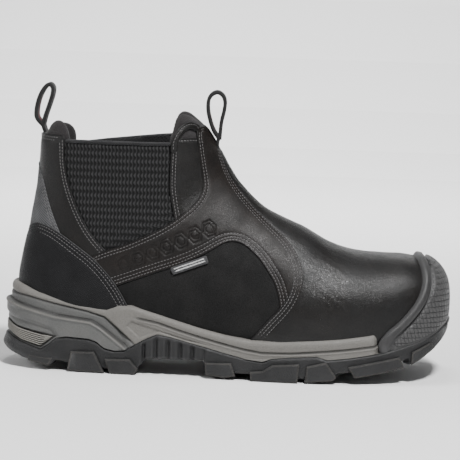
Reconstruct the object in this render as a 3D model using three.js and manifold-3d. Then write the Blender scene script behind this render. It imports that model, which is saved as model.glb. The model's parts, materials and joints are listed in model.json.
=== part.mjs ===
// A steel-toe pull-on work boot for a right foot, standing on its tread.
// Millimetres. +X points to the toe, +Y to the inside of the foot, +Z up. The origin is on the
// ground under the middle of the boot.
//
// The upper is one foot-shaped skin. Every layer of it, from the rubber toe guard outside to the
// lining inside, is that skin moved in or out along its normals, and every panel is a layer cut
// by the panel's outline as seen from the side. The sole follows one outline seen from above.
import * as THREE from "three";
import { mergeVertices } from "three/addons/utils/BufferGeometryUtils.js";
import Module from "manifold-3d";

const wasm = await Module();
wasm.setup();

// ---------- Driving dimensions ----------
const GAP = 0.3; // between neighbouring pieces
const LEATHER = 1.6; // upper leather
const STIFFENER = 1.5; // toe cap, heel counter and collar foam, between leather and lining
const LINING = 2.3; // padded lining
const GUARD = 4.6; // rubber toe guard
const TAPE = 2.2; // webbing of a pull loop
const TAPE_WIDTH = 17;
const REACH = 90; // half length of a cutting prism, wider than the boot

// Depth of each layer's outer face under the leather's own face.
const STIFFENER_TOP = -(LEATHER + GAP);
const LINING_TOP = STIFFENER_TOP - STIFFENER - GAP;
const LINING_INSIDE = LINING_TOP - LINING;

// Heights above the seat line, which is the underside of the lasted upper.
const BOARD = [2.4, 6.2];
const FOOTBED_FOAM = [6.6, 10.6];
const FOOTBED_COVER = [10.9, 12.2];

// ---------- Materials ----------
const material = (color, roughness, metalness = 0) =>
  new THREE.MeshStandardMaterial({ color, roughness, metalness });
const LOOKS = {
  leather: material(0x1d1b1b, 0.5),
  smoothLeather: material(0x242122, 0.45),
  nubuck: material(0x161616, 0.8),
  guardFabric: material(0x3a3b3d, 0.7),
  elastic: material(0x141414, 0.9),
  collarFabric: material(0x2b2a2c, 0.95),
  mesh: material(0x111112, 0.95),
  rubber: material(0x1c1c1d, 0.75),
  midsole: material(0x77756f, 0.7),
  steel: material(0xb8bcc0, 0.35, 1),
  board: material(0x8a8274, 0.9),
  foam: material(0x3c3d40, 0.95),
  webbing: material(0x191919, 0.85),
  label: material(0x2a2a2a, 0.6),
};

// ---------- The skin of the upper ----------
// One row per ring of the skin, from the toe tip to above the collar. A ring lies in the plane
// through its front point (toe top, instep, shin) and its back point (sole, heel, back of leg).
// Columns: front x, front z, back x, back z, middle y, half width, height of the widest place as
// a share of the ring, roundness of the front half, roundness of the back half (2 is an ellipse).
const RINGS = [
  [150.3, 58, 150.3, 46, 8, 9, 0.5, 2.0, 2.0],
  [149, 66.5, 149, 39, 7, 20, 0.42, 2.2, 2.6],
  [144.5, 74, 144.5, 34, 5.5, 30, 0.4, 2.4, 3.2],
  [136, 79.3, 135.5, 29, 4.5, 37.5, 0.38, 2.5, 4.0],
  [122, 82, 121, 23.8, 2.5, 43, 0.36, 2.5, 4.5],
  [104, 82.6, 102, 20, 0.5, 46.5, 0.34, 2.4, 5.0],
  [86, 84.6, 80, 17.8, -1.5, 48.5, 0.32, 2.3, 5.0],
  [70, 89.5, 56, 17, -2.5, 48.5, 0.3, 2.2, 5.0],
  [53, 98.7, 30, 17.8, -3.5, 46.5, 0.28, 2.1, 5.0],
  [36, 106, 3, 20.5, -4.5, 43.5, 0.28, 2.0, 4.5],
  [22, 113.5, -26, 24, -4.5, 40.5, 0.3, 2.0, 4.5],
  [11, 122.8, -58, 27, -3.5, 38.5, 0.34, 2.0, 4.2],
  [3, 131.8, -90, 29.3, -2, 37.5, 0.38, 2.0, 4.0],
  [-2, 139, -118, 31, -1, 37, 0.42, 2.05, 3.6],
  [-5, 143.8, -136, 35.5, -0.5, 36.5, 0.45, 2.1, 3.0],
  [-7.2, 148, -145.2, 52, 0, 36.3, 0.46, 2.15, 2.5],
  [-9.2, 151.5, -143, 76, 0, 36.2, 0.47, 2.2, 2.3],
  [-10.7, 154, -138.5, 101, 0, 36.2, 0.47, 2.2, 2.3],
  [-12.1, 156.7, -134.8, 128, 0, 36.5, 0.47, 2.25, 2.3],
  [-14.5, 160.8, -133.8, 153, 0, 37, 0.47, 2.3, 2.3],
  [-20, 170, -134, 171, 0, 37, 0.47, 2.3, 2.3],
  [-26, 180, -133.5, 186, 0, 37, 0.47, 2.3, 2.3],
];
const LAST_RING = RINGS.length - 1;
const RING_POINTS = 20;
const SEAT_RINGS = 14; // the rings whose back points lie along the seat line

// A smooth curve through evenly spaced values.
function spline(values, t) {
  const i = Math.min(Math.floor(t), values.length - 2);
  const at = (k) => values[THREE.MathUtils.clamp(k, 0, values.length - 1)];
  const [a, b, c, d] = [at(i - 1), at(i), at(i + 1), at(i + 2)];
  const u = t - i;
  return b + 0.5 * u * (c - a + u * (2 * a - 5 * b + 4 * c - d + u * (3 * (b - c) + d - a)));
}

// Straight lines through [x, value] pairs.
function along(pairs, x) {
  const next = pairs.findIndex(([px]) => px > x);
  if (next === 0) return pairs[0][1];
  if (next < 0) return pairs[pairs.length - 1][1];
  const [[x0, v0], [x1, v1]] = [pairs[next - 1], pairs[next]];
  return v0 + ((v1 - v0) * (x - x0)) / (x1 - x0);
}

// A point of the leather's outer face: t counts rings from the toe, angle runs round the ring
// from the front point towards the outside of the foot.
function skinPoint(t, angle) {
  const column = (k) => spline(RINGS.map((row) => row[k]), t);
  const [fx, fz, bx, bz, middle, half, belly] = [0, 1, 2, 3, 4, 5, 6].map(column);
  const [c, s] = [Math.cos(angle), Math.sin(angle)];
  const power = 2 / column(c >= 0 ? 7 : 8);
  const height = belly + (c >= 0 ? 1 - belly : -belly) * Math.abs(c) ** power;
  const side = -Math.sign(s) * Math.abs(s) ** power;
  return new THREE.Vector3(bx + (fx - bx) * height, middle + half * side, bz + (fz - bz) * height);
}

function skinNormal(t, angle) {
  const [dt, da] = [0.05, 0.02];
  const [t0, t1] = [Math.max(t - dt, 0), Math.min(t + dt, LAST_RING)];
  const alongSkin = skinPoint(t1, angle).sub(skinPoint(t0, angle));
  const roundRing = skinPoint(t, angle + da).sub(skinPoint(t, angle - da));
  return alongSkin.cross(roundRing).normalize();
}

function skinRing(t, depth) {
  return Array.from({ length: RING_POINTS }, (_, k) => {
    const angle = ((k + 0.5) / RING_POINTS) * 2 * Math.PI;
    return skinPoint(t, angle).addScaledVector(skinNormal(t, angle), depth);
  });
}

// ---------- Solids ----------
// A closed surface through rings of points. Its ends are closed by a fan round each end's middle.
function loft(rings, middles) {
  const size = rings[0].length;
  const points = [...rings.flat(), ...middles];
  const faces = [];
  const last = (rings.length - 1) * size;
  const [startMiddle, endMiddle] = [rings.length * size, rings.length * size + 1];
  for (let k = 0; k < size; k++) {
    const next = (k + 1) % size;
    for (let r = 0; r < rings.length - 1; r++) {
      const [a, b] = [r * size + k, r * size + next];
      faces.push(a, a + size, b, b, a + size, b + size);
    }
    faces.push(startMiddle, k, next, endMiddle, last + next, last + k);
  }
  return indexed(points, faces);
}

// A closed surface through sole rings, whose two halves mirror each other, so each end is closed
// by strips straight across the sole and keeps its heel and toe curve.
function soleLoft(rings) {
  const size = rings[0].length;
  const faces = [];
  const last = (rings.length - 1) * size;
  for (let k = 0; k < size; k++) {
    const next = (k + 1) % size;
    for (let r = 0; r < rings.length - 1; r++) {
      const [a, b] = [r * size + k, r * size + next];
      faces.push(a, b, a + size, b, b + size, a + size);
    }
  }
  for (let k = 0; k < size / 2; k++) {
    const [a, b, c, d] = [k, k + 1, (size - k - 1) % size, (size - k) % size];
    if (c !== b) faces.push(a, c, b, last + a, last + b, last + c);
    if (d !== a) faces.push(a, d, c, last + a, last + c, last + d);
  }
  return indexed(rings.flat(), faces);
}

function indexed(points, faces) {
  const positions = new Float32Array(points.flatMap((p) => [p.x, p.y, p.z]));
  return new THREE.BufferGeometry()
    .setAttribute("position", new THREE.BufferAttribute(positions, 3))
    .setIndex(faces);
}

function solid(geometry) {
  const bare = geometry.clone();
  bare.deleteAttribute("normal");
  bare.deleteAttribute("uv");
  const merged = mergeVertices(bare, 1e-4);
  const made = (flip) => {
    const triVerts = new Uint32Array(merged.index.array);
    if (flip) triVerts.reverse();
    const vertProperties = merged.attributes.position.array;
    return new wasm.Manifold(new wasm.Mesh({ numProp: 3, vertProperties, triVerts }));
  };
  const first = made(false);
  return first.volume() > 0 ? first : made(true);
}

// The skin moved out by depth and closed, with its top end lifted by rise.
function skin(depth, rise = 0) {
  const rings = RINGS.map((_, t) => skinRing(t, depth));
  rings[LAST_RING].forEach((p) => (p.z += rise));
  const middle = (ring) =>
    ring.reduce((sum, p) => sum.add(p), new THREE.Vector3()).divideScalar(ring.length);
  return solid(loft(rings, [middle(rings[0]), middle(rings[LAST_RING])]));
}

const shell = (outer, inner) => skin(outer).subtract(skin(inner, 20));

// The space behind an outline drawn from the side, between two distances from the middle plane.
function sidePrism(outline, from = -REACH, to = REACH) {
  const shape = new THREE.Shape(outline.map(([x, z]) => new THREE.Vector2(x, z)));
  const block = new THREE.ExtrudeGeometry(shape, { depth: to - from, bevelEnabled: false });
  return solid(block.rotateX(Math.PI / 2).translate(0, to, 0));
}

// An outline with every side moved outwards, so that a neighbour cut by it keeps its distance.
function grown(outline, distance = GAP) {
  const area = THREE.ShapeUtils.area(outline.map(([x, z]) => ({ x, y: z })));
  const out = Math.sign(area) * distance;
  return outline.map(([x, z], i) => {
    const [px, pz] = outline.at(i - 1);
    const [nx, nz] = outline[(i + 1) % outline.length];
    const before = new THREE.Vector2(z - pz, px - x).normalize();
    const after = new THREE.Vector2(nz - z, x - nx).normalize();
    const corner = before.clone().add(after);
    const reach = out / Math.max(0.35, corner.lengthSq() / 2);
    return [x + corner.x * reach, z + corner.y * reach];
  });
}

const smooth = (points, steps = 2) =>
  new THREE.SplineCurve(points.map(([x, z]) => new THREE.Vector2(x, z)))
    .getPoints((points.length - 1) * steps)
    .map(({ x, y }) => [x, y]);

const cutAway = (body, ...outlines) =>
  outlines.reduce((left, outline) => left.subtract(sidePrism(grown(outline))), body);

function box(from, to) {
  const size = to.map((v, i) => v - from[i]);
  const geometry = new THREE.BoxGeometry(...size);
  return solid(geometry.translate(...to.map((v, i) => (v + from[i]) / 2)));
}

// The largest single body, without the slivers that a cut can leave.
const wholePiece = (body) =>
  body.decompose().reduce((a, b) => (b.volume() > a.volume() ? b : a));

const boot = new THREE.Group();
function add(name, body, look) {
  const { vertProperties, triVerts, numProp, numVert } = wholePiece(body).getMesh();
  const positions = new Float32Array(numVert * 3);
  for (let i = 0; i < numVert; i++) {
    positions.set(vertProperties.subarray(i * numProp, i * numProp + 3), i * 3);
  }
  const geometry = new THREE.BufferGeometry()
    .setAttribute("position", new THREE.BufferAttribute(positions, 3))
    .setIndex(new THREE.BufferAttribute(new Uint32Array(triVerts), 1));
  geometry.computeVertexNormals();
  const mesh = new THREE.Mesh(geometry, look);
  mesh.name = name;
  boot.add(mesh);
}

// ---------- Lines of the sole ----------
// Outline from above: x, then the outside edge and the inside edge of the foot.
const HEEL_POINT = [-154, -0.5];
const TOE_POINT = [154.5, 9];
const SOLE_EDGES = [
  [-150.5, -17, 16],
  [-143, -27.5, 26.5],
  [-128, -35, 34],
  [-105, -39.5, 38.5],
  [-70, -43, 39],
  [-35, -46.5, 38.5],
  [0, -50.5, 41],
  [35, -54.5, 47],
  [65, -56, 52],
  [90, -54, 53.5],
  [112, -49, 52.5],
  [130, -41, 49.5],
  [143, -30, 42.5],
  [151, -13.5, 30],
];
const SOLE_CURVE = new THREE.CatmullRomCurve3(
  [
    HEEL_POINT,
    ...SOLE_EDGES.map(([x, outside]) => [x, outside]),
    TOE_POINT,
    ...SOLE_EDGES.toReversed().map(([x, , inside]) => [x, inside]),
  ].map(([x, y]) => new THREE.Vector3(x, y, 0)),
  true,
  "catmullrom",
);
const SOLE_POINTS = 40;

// Bottom of the tread: flat in the middle, bevelled at the heel, sprung up at the toe.
const TREAD = [
  [-157, 14],
  [-150, 10.5],
  [-140, 6.8],
  [-128, 4.6],
  [-110, 2.2],
  [-92, 0],
  [52, 0],
  [75, 2.5],
  [90, 5],
  [107, 8.2],
  [121, 11.8],
  [133, 17],
  [142, 22.5],
  [148, 27.5],
  [157, 38],
];
// Where the rubber outsole's side ends and the foam midsole's begins.
const RIM = [
  [-157, 22],
  [-150, 20.5],
  [-142, 16.5],
  [-128, 13],
  [-117.5, 22],
  [-110.5, 23.6],
  [-94.5, 22.8],
  [-83.7, 16.8],
  [-76.7, 15.3],
  [-69.7, 16.2],
  [-47.7, 28.2],
  [-19.5, 22],
  [24.2, 13.1],
  [30.5, 15.4],
  [61.2, 18.2],
  [68.3, 16],
  [96, 19.7],
  [106.6, 21.5],
  [120.5, 25.5],
  [134, 30],
  [144.7, 34.7],
  [157, 42],
];
// Top edge of the midsole, which cups the upper.
const MIDSOLE_TOP = [
  [-157, 57.5],
  [-143, 56],
  [-118.5, 50.7],
  [-83.3, 44.3],
  [-75, 47.2],
  [-66, 47.2],
  [-55, 44],
  [-2, 30.1],
  [15.4, 27.5],
  [36.4, 27.5],
  [78.3, 30.7],
  [105, 34.7],
  [157, 50],
];
const SEAT_LINE = RINGS.slice(0, SEAT_RINGS)
  .map(([, , x, z]) => [x, z])
  .concat([[-157, 32.5]])
  .reverse();
const tread = (x) => along(TREAD, x);
const rim = (x) => along(RIM, x);
const midsoleTop = (x) => along(MIDSOLE_TOP, x);
const seat = (x) => along(SEAT_LINE, x);
const floorOf = (x) => Math.min(tread(x) + 9.5, seat(x) - 4); // top of the outsole's plate
const plate = (x) => Math.min(tread(x) + 5.5, floorOf(x) - 3); // underside of that plate

function soleRing(outwards, height) {
  return Array.from({ length: SOLE_POINTS }, (_, k) => {
    const point = SOLE_CURVE.getPoint(k / SOLE_POINTS);
    const tangent = SOLE_CURVE.getTangent(k / SOLE_POINTS);
    const x = point.x + tangent.y * outwards;
    return new THREE.Vector3(x, point.y - tangent.x * outwards, height(x));
  });
}

// A layer across the sole between two heights, ending inset from the outline.
const slab = (inset, low, high) =>
  solid(soleLoft([soleRing(-inset, low), soleRing(-inset, high)]));

// ---------- Outlines of the panels, from the side ----------
const LOW = 5; // below every panel, inside the sole
const VAMP_EDGE = smooth([
  [-12.3, 157.5],
  [-12, 151],
  [-5, 132.5],
  [12.5, 110.5],
  [31.3, 93],
  [41.6, 78],
  [41.5, 60.8],
  [28.8, 43],
  [10, 18],
]);
const VAMP = [...VAMP_EDGE, [8, LOW], [170, LOW], [170, 157.5]];

const HEEL_GUARD_EDGE = smooth([
  [-141.7, 92.4],
  [-132.8, 100],
  [-113, 92],
  [-93.6, 79],
  [-78.3, 62.5],
  [-66, 42],
  [-58, 20],
]);
const HEEL_GUARD = [[-165, 91], ...HEEL_GUARD_EDGE, [-56, LOW], [-165, LOW]];

const REAR_GUARD = [
  [-165, 140],
  [-133, 140],
  ...smooth([
    [-132.8, 138],
    [-125.7, 116],
    [-115, 90],
  ]),
  [-165, 80],
];

const SADDLE_TOP_EDGE = smooth([
  [-100, 77],
  [-84, 84.3],
  [-64, 92],
  [-39, 105.5],
  [-24.5, 118],
  [-20.4, 132],
  [-24, 153],
  [-27.4, 171.5],
]);
const SADDLE_LOW_EDGE = smooth([
  [-74.4, 60.6],
  [-35.3, 75.2],
  [-11.2, 87.2],
  [3.3, 92.3],
  [19, 82.7],
  [31.6, 64.2],
  [35.5, 44],
]);
const SADDLE = [
  ...SADDLE_TOP_EDGE,
  [-5, 171],
  [60, 120],
  [60, 44],
  ...SADDLE_LOW_EDGE.toReversed(),
  [-90, 56],
];

// Top edge of each gore, at its rear and front end. The inner one slants.
const GORE_TOPS = { lateral: [156.6, 156.6], medial: [150.5, 160] };
const BINDING_HEIGHT = 1.7;
const GORE_REAR_EDGE = smooth([
  [-115.2, 161],
  [-113, 132.2],
  [-100.7, 103.2],
  [-84, 84.7],
]);
const GORE_SPAN = [-115.2, -42.4];
const gore = ([rear, front]) => [
  [GORE_SPAN[0], rear],
  ...GORE_REAR_EDGE.filter(([, z]) => z < rear - 1),
  [-64, 92.4],
  [-40.5, 105.2],
  [-42.8, 131],
  [GORE_SPAN[1], front],
];
const goreBinding = ([rear, front]) => [
  [GORE_SPAN[0], rear + GAP],
  [GORE_SPAN[1], front + GAP],
  [GORE_SPAN[1], front + GAP + BINDING_HEIGHT],
  [GORE_SPAN[0], rear + GAP + BINDING_HEIGHT],
];
const ABOVE_GORES = [
  [GORE_SPAN[0], 148],
  [GORE_SPAN[1], 148],
  [GORE_SPAN[1], 190],
  [GORE_SPAN[0], 190],
];
const LEATHER_TOP = 161; // top edge of the leather beside the gores
const FACING = [
  [-42.1, LEATHER_TOP + 1],
  [-42.5, 131],
  [-40.2, 100],
  [-15, 110],
  [-15, LEATHER_TOP + 1],
];
const REAR_SHAFT = [
  [-165, LEATHER_TOP],
  [-115.5, LEATHER_TOP],
  ...GORE_REAR_EDGE.map(([x, z]) => [x - GAP, z]),
  [-84, 70],
  [-165, 70],
];
const SIDE_PANEL = [[-95, LOW], [-95, 80], [45, 110], [45, LOW]];

const FRONT_COLLAR_TOP = smooth([
  [-42.1, 159],
  [-38.6, 171],
  [-34, 178.8],
  [-25.5, 175],
  [-12, 168.5],
]);
const FRONT_COLLAR = [[-42.1, 158.9], ...FRONT_COLLAR_TOP, [-8, 150], [-42.1, 150]];
const REAR_COLLAR_TOP = smooth([
  [-140, 163],
  [-131, 163.6],
  [-124.5, 169.8],
  [-118, 167],
  [-115.2, 160],
]);
const REAR_COLLAR = [...REAR_COLLAR_TOP, [-115.2, 159.5], [-140, 159.5]];

const TOE_GUARD_EDGE = smooth([
  [123, 95],
  [131, 77],
  [131.5, 68],
  [122.4, 49.7],
  [108.9, 36.6],
  [97, 19.4],
]);
const TOE_GUARD = [
  ...TOE_GUARD_EDGE,
  ...RIM.filter(([x]) => x > 100).map(([x, z]) => [x, z + GAP]),
  [175, 60],
  [175, 95],
];

// ---------- Sole ----------
function makeOutsole() {
  const tray = soleLoft([
    soleRing(-6, plate),
    soleRing(-0.5, (x) => plate(x) + 0.5),
    soleRing(1.6, (x) => (plate(x) + rim(x)) / 2),
    soleRing(1.0, rim),
    soleRing(-2.2, rim),
    soleRing(-8, floorOf),
  ]);
  const treadBlock = solid(
    soleLoft([soleRing(-0.8, tread), soleRing(0.9, (x) => Math.min(tread(x) + 7.5, floorOf(x) - 1))]),
  );
  // Lugs along both edges, each drawn from the side, with bars across the middle between them.
  const edgeLugs = [
    [-160, -121],
    [-109, -84],
    [-79.5, -61],
    [-14.5, 5.5],
    [17, 49],
    [53.5, 74],
    [86, 120],
    [124, 160],
  ];
  const bars = [
    [-150, -128],
    [-114, -98],
    [-88, -70],
    [-8, 8],
    [22, 36],
    [50, 64],
    [78, 92],
    [106, 120],
  ];
  const lean = 3; // each side of an edge lug slopes out by this much from top to bottom
  const lug = ([from, to], yFrom, yTo, slope) =>
    sidePrism([[from - slope, -5], [to + slope, -5], [to - slope, 60], [from + slope, 60]], yFrom, yTo)
      .intersect(treadBlock);
  const lugs = [
    ...edgeLugs.flatMap((span) => [lug(span, -REACH, -24, lean), lug(span, 22, REACH, lean)]),
    ...bars.map((span) => lug(span, -15, 13, 1)),
  ];
  return lugs.reduce((whole, one) => whole.add(one), solid(tray));
}
const outsole = makeOutsole();
const clearOfOutsole = (body) => body.subtract(outsole).subtract(outsole.translate(0, 0, GAP));

function makeMidsole() {
  const share = (f) => (x) => rim(x) + (midsoleTop(x) - rim(x)) * f;
  const body = soleLoft([
    soleRing(-8, (x) => floorOf(x) + GAP),
    soleRing(-1.4, (x) => rim(x) + GAP),
    soleRing(0.6, (x) => rim(x) + GAP),
    soleRing(0.8, share(0.55)),
    soleRing(-1.2, share(0.72)),
    soleRing(-2.2, share(0.86)),
    soleRing(-4.6, midsoleTop),
    soleRing(-9, (x) => midsoleTop(x) - 1),
  ]);
  return cutAway(clearOfOutsole(solid(body).subtract(skin(GAP))), TOE_GUARD);
}

// A flat strip of spring steel under the lasting board, which bridges the arch.
function makeShank() {
  const xs = [-95, -70, -45, -20, 5];
  const face = (height) => xs.map((x) => [x, seat(x) + height]);
  return sidePrism([...face(0.7), ...face(BOARD[0] - GAP).reverse()], -9, 9);
}

add("outsole", outsole, LOOKS.rubber);
add("midsole", makeMidsole(), LOOKS.midsole);
add("shank", makeShank(), LOOKS.steel);
const toeGuard = shell(GUARD, GAP).intersect(sidePrism(TOE_GUARD));
add("toe_guard", clearOfOutsole(toeGuard), LOOKS.rubber);

// ---------- Leather and textile panels ----------
const lastingOpening = slab(17, () => LOW, (x) => seat(x) + 4);
const leather = shell(0, -LEATHER).subtract(lastingOpening);
const panel = (outline, from, to) => leather.intersect(sidePrism(outline, from, to));
// One panel on each side of the foot, parted at the middle plane.
function bothSides(name, make, look) {
  add(`${name}_lateral`, make(-REACH, -GAP / 2), look);
  add(`${name}_medial`, make(GAP / 2, REACH), look);
}

add("vamp", panel(VAMP), LOOKS.leather);
add("heel_guard", panel(HEEL_GUARD), LOOKS.guardFabric);
add("rear_guard", cutAway(panel(REAR_GUARD), HEEL_GUARD), LOOKS.guardFabric);
bothSides(
  "saddle",
  (from, to) => cutAway(panel(SADDLE, from, to), VAMP, HEEL_GUARD),
  LOOKS.smoothLeather,
);
bothSides(
  "side_panel",
  (from, to) => cutAway(panel(SIDE_PANEL, from, to), VAMP, HEEL_GUARD, SADDLE),
  LOOKS.nubuck,
);
for (const [side, tops] of Object.entries(GORE_TOPS)) {
  const span = side === "lateral" ? [-REACH, -GAP / 2] : [GAP / 2, REACH];
  const binding = shell(0.4, LINING_INSIDE - 0.4).intersect(sidePrism(goreBinding(tops), ...span));
  add(`gore_${side}`, cutAway(panel(gore(tops), ...span), SADDLE), LOOKS.elastic);
  add(`gore_binding_${side}`, binding, LOOKS.elastic);
}
bothSides(
  "gore_facing",
  (from, to) => cutAway(panel(FACING, from, to), SADDLE, gore(GORE_TOPS.lateral), ABOVE_GORES),
  LOOKS.leather,
);
bothSides(
  "rear_shaft",
  (from, to) =>
    cutAway(
      panel(REAR_SHAFT, from, to),
      ...[gore(GORE_TOPS.lateral), ABOVE_GORES, SADDLE, HEEL_GUARD, REAR_GUARD],
    ),
  LOOKS.leather,
);
const collarShell = shell(0.8, LINING_INSIDE - 0.4);
add(
  "front_collar",
  cutAway(collarShell.intersect(sidePrism(FRONT_COLLAR)), FACING, SADDLE, ABOVE_GORES),
  LOOKS.collarFabric,
);
add(
  "rear_collar",
  cutAway(collarShell.intersect(sidePrism(REAR_COLLAR)), REAR_SHAFT, ABOVE_GORES),
  LOOKS.collarFabric,
);
const TAG = [[-40.5, 74.5], [-16, 83.5], [-14.2, 78.6], [-38.6, 69.6]];
add("side_tag", shell(1.3, GAP).intersect(sidePrism(TAG, -REACH, 0)), LOOKS.label);

// ---------- Between leather and lining ----------
const stiffenerShell = shell(STIFFENER_TOP, STIFFENER_TOP - STIFFENER).subtract(lastingOpening);
const boardSpace = slab(1, () => LOW, (x) => seat(x) + BOARD[1] + GAP);
const CAP_REAR = 99;
const GASKET_REAR = 92;
const TOE_CAP = [[CAP_REAR, LOW], [CAP_REAR + 6, 100], [170, 100], [170, LOW]];
const GASKET = [[GASKET_REAR, LOW], [GASKET_REAR + 6, 100], [CAP_REAR + 6, 100], [CAP_REAR, LOW]];
const COUNTER = [
  [-165, LOW],
  [-165, 88],
  ...smooth([
    [-135, 90],
    [-112, 82],
    [-90, 62],
    [-74, 30],
    [-72, LOW],
  ]),
];
const between = (outline, from, to) =>
  stiffenerShell.intersect(sidePrism(outline, from, to)).subtract(boardSpace);
add("steel_toe_cap", between(TOE_CAP), LOOKS.steel);
add("toe_cap_gasket", cutAway(between(GASKET), TOE_CAP), LOOKS.rubber);
add("heel_counter", between(COUNTER), LOOKS.board);

const tailHalf = TAPE_WIDTH / 2;
const frontTail = box([-40, -tailHalf, 136], [20, tailHalf, 157]);
const rearTail = box([-150, -tailHalf, 138], [-120, tailHalf, 160]);
const tailSpace = (x) => box([x - 30, -tailHalf - GAP, 130], [x + 30, tailHalf + GAP, 175]);
add("front_loop_tail", stiffenerShell.intersect(frontTail), LOOKS.webbing);
add("rear_loop_tail", stiffenerShell.intersect(rearTail), LOOKS.webbing);
const FRONT_FOAM = [[-41, 157], [-38, 112], [40, 112], [40, 157]];
const REAR_FOAM = [[-165, 158], [-117, 158], [-114, 130], [-106, 104], [-110, 100], [-165, 100]];
add("front_collar_foam", between(FRONT_FOAM).subtract(tailSpace(-10)), LOOKS.foam);
add("rear_collar_foam", between(REAR_FOAM).subtract(tailSpace(-135)), LOOKS.foam);

// ---------- Lining, board and footbed ----------
const liningShell = shell(LINING_TOP, LINING_INSIDE).subtract(boardSpace);
const LINING_HEIGHT = 157;
const aboveLining = ([rear, front]) => [
  [-165, LINING_HEIGHT],
  [GORE_SPAN[0], LINING_HEIGHT],
  [GORE_SPAN[0], rear - GAP],
  [GORE_SPAN[1], front - GAP],
  [GORE_SPAN[1], LINING_HEIGHT],
  [60, LINING_HEIGHT],
  [60, 250],
  [-165, 250],
];
const linedShaft = liningShell
  .subtract(sidePrism(aboveLining(GORE_TOPS.lateral), -REACH, 0))
  .subtract(sidePrism(aboveLining(GORE_TOPS.medial), 0, REACH));
const VAMP_LINING = [[2, 175], [-32, LOW], [170, LOW], [170, 120]];
const SHAFT_LINING = [[-165, 200], [-165, LOW], [60, LOW], [60, 175], [-5, 175], [-8, 200]];
const lining = (outline) =>
  cutAway(linedShaft.intersect(sidePrism(outline)), FRONT_COLLAR, REAR_COLLAR);
add("vamp_lining", lining(VAMP_LINING), LOOKS.mesh);
add("shaft_lining", cutAway(lining(SHAFT_LINING), VAMP_LINING), LOOKS.mesh);

const layer = (depth, [low, high]) =>
  skin(depth).intersect(slab(1, (x) => seat(x) + low, (x) => seat(x) + high));
add("lasting_board", layer(STIFFENER_TOP - GAP, BOARD), LOOKS.board);
const FOOTBED_DEPTH = LINING_INSIDE - 1.8; // room for the footbed to lift past the lining
add("footbed_foam", layer(FOOTBED_DEPTH, FOOTBED_FOAM), LOOKS.foam);
add("footbed_cover", layer(FOOTBED_DEPTH, FOOTBED_COVER), LOOKS.mesh);

// ---------- Pull loops ----------
// A loop of webbing drawn from the side: a band round the centre line, with its two ends sewn
// together between the line's ends and a round bead at the pivot.
function pullLoop(pivot, centreLine) {
  const line = smooth([pivot, ...centreLine, pivot], 3).slice(1);
  const half = TAPE_WIDTH / 2;
  const hole = sidePrism(grown(smooth(centreLine, 3), -TAPE / 2), -half - 1, half + 1);
  const bead = new THREE.CylinderGeometry(TAPE, TAPE, TAPE_WIDTH, 16);
  return sidePrism(grown(line, TAPE / 2), -half, half)
    .subtract(hole)
    .add(solid(bead.translate(pivot[0], 0, pivot[1])));
}
const FRONT_PIVOT = [-9.8, 160.4];
const REAR_PIVOT = [-132.6, 166.4];
const FRONT_LOOP = [
  [-14.5, 169],
  [-17.6, 180],
  [-17.4, 187.5],
  [-12.4, 193.2],
  [-7.2, 187.5],
  [-7.4, 179.5],
  [-9, 169],
];
const REAR_LOOP = [
  [-136.6, 173],
  [-138, 180],
  [-136, 188],
  [-130.4, 194.8],
  [-126.4, 189],
  [-127.4, 181.5],
  [-130.2, 173],
];
add("front_pull_loop", pullLoop(FRONT_PIVOT, FRONT_LOOP), LOOKS.webbing);
add("rear_pull_loop", pullLoop(REAR_PIVOT, REAR_LOOP), LOOKS.webbing);

export default boot;
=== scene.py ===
"""A black pull-on work boot with a steel toe: its panels, seams, sole and trim.

Lengths are in millimetres while a piece is being made, and a finished piece is scaled to metres.
+X points to the toe, +Y to the inside of the foot, +Z up.
"""

import json
import math

import bmesh
import bpy
import numpy as np
from mathutils import Matrix, Vector, noise
from mathutils.bvhtree import BVHTree
from mathutils.interpolate import poly_3d_calc

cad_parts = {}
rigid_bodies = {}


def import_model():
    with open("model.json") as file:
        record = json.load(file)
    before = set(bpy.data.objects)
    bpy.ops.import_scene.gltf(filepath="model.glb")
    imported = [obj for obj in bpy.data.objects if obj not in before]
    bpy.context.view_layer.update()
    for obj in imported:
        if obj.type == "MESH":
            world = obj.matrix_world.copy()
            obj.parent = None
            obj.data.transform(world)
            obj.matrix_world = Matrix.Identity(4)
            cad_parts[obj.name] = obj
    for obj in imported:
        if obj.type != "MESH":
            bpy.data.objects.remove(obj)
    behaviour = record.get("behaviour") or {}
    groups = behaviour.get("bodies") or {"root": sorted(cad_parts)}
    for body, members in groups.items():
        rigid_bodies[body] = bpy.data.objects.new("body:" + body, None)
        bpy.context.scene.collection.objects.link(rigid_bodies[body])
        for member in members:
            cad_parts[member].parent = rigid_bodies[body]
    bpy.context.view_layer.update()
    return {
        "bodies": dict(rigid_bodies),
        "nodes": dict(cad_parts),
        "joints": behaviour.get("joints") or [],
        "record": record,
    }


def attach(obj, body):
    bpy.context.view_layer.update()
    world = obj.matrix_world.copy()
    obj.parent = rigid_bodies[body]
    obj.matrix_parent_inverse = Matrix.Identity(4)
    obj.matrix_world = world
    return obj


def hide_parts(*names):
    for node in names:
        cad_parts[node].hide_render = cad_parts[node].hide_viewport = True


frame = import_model()

MM = 0.001
LATERAL, MEDIAL, BOTH = (0.0, 0.5), (0.5, 1.0), (0.0, 1.0)  # shares of the way round a ring
SIDE_NAMES = {"lateral": LATERAL, "medial": MEDIAL}

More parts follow.
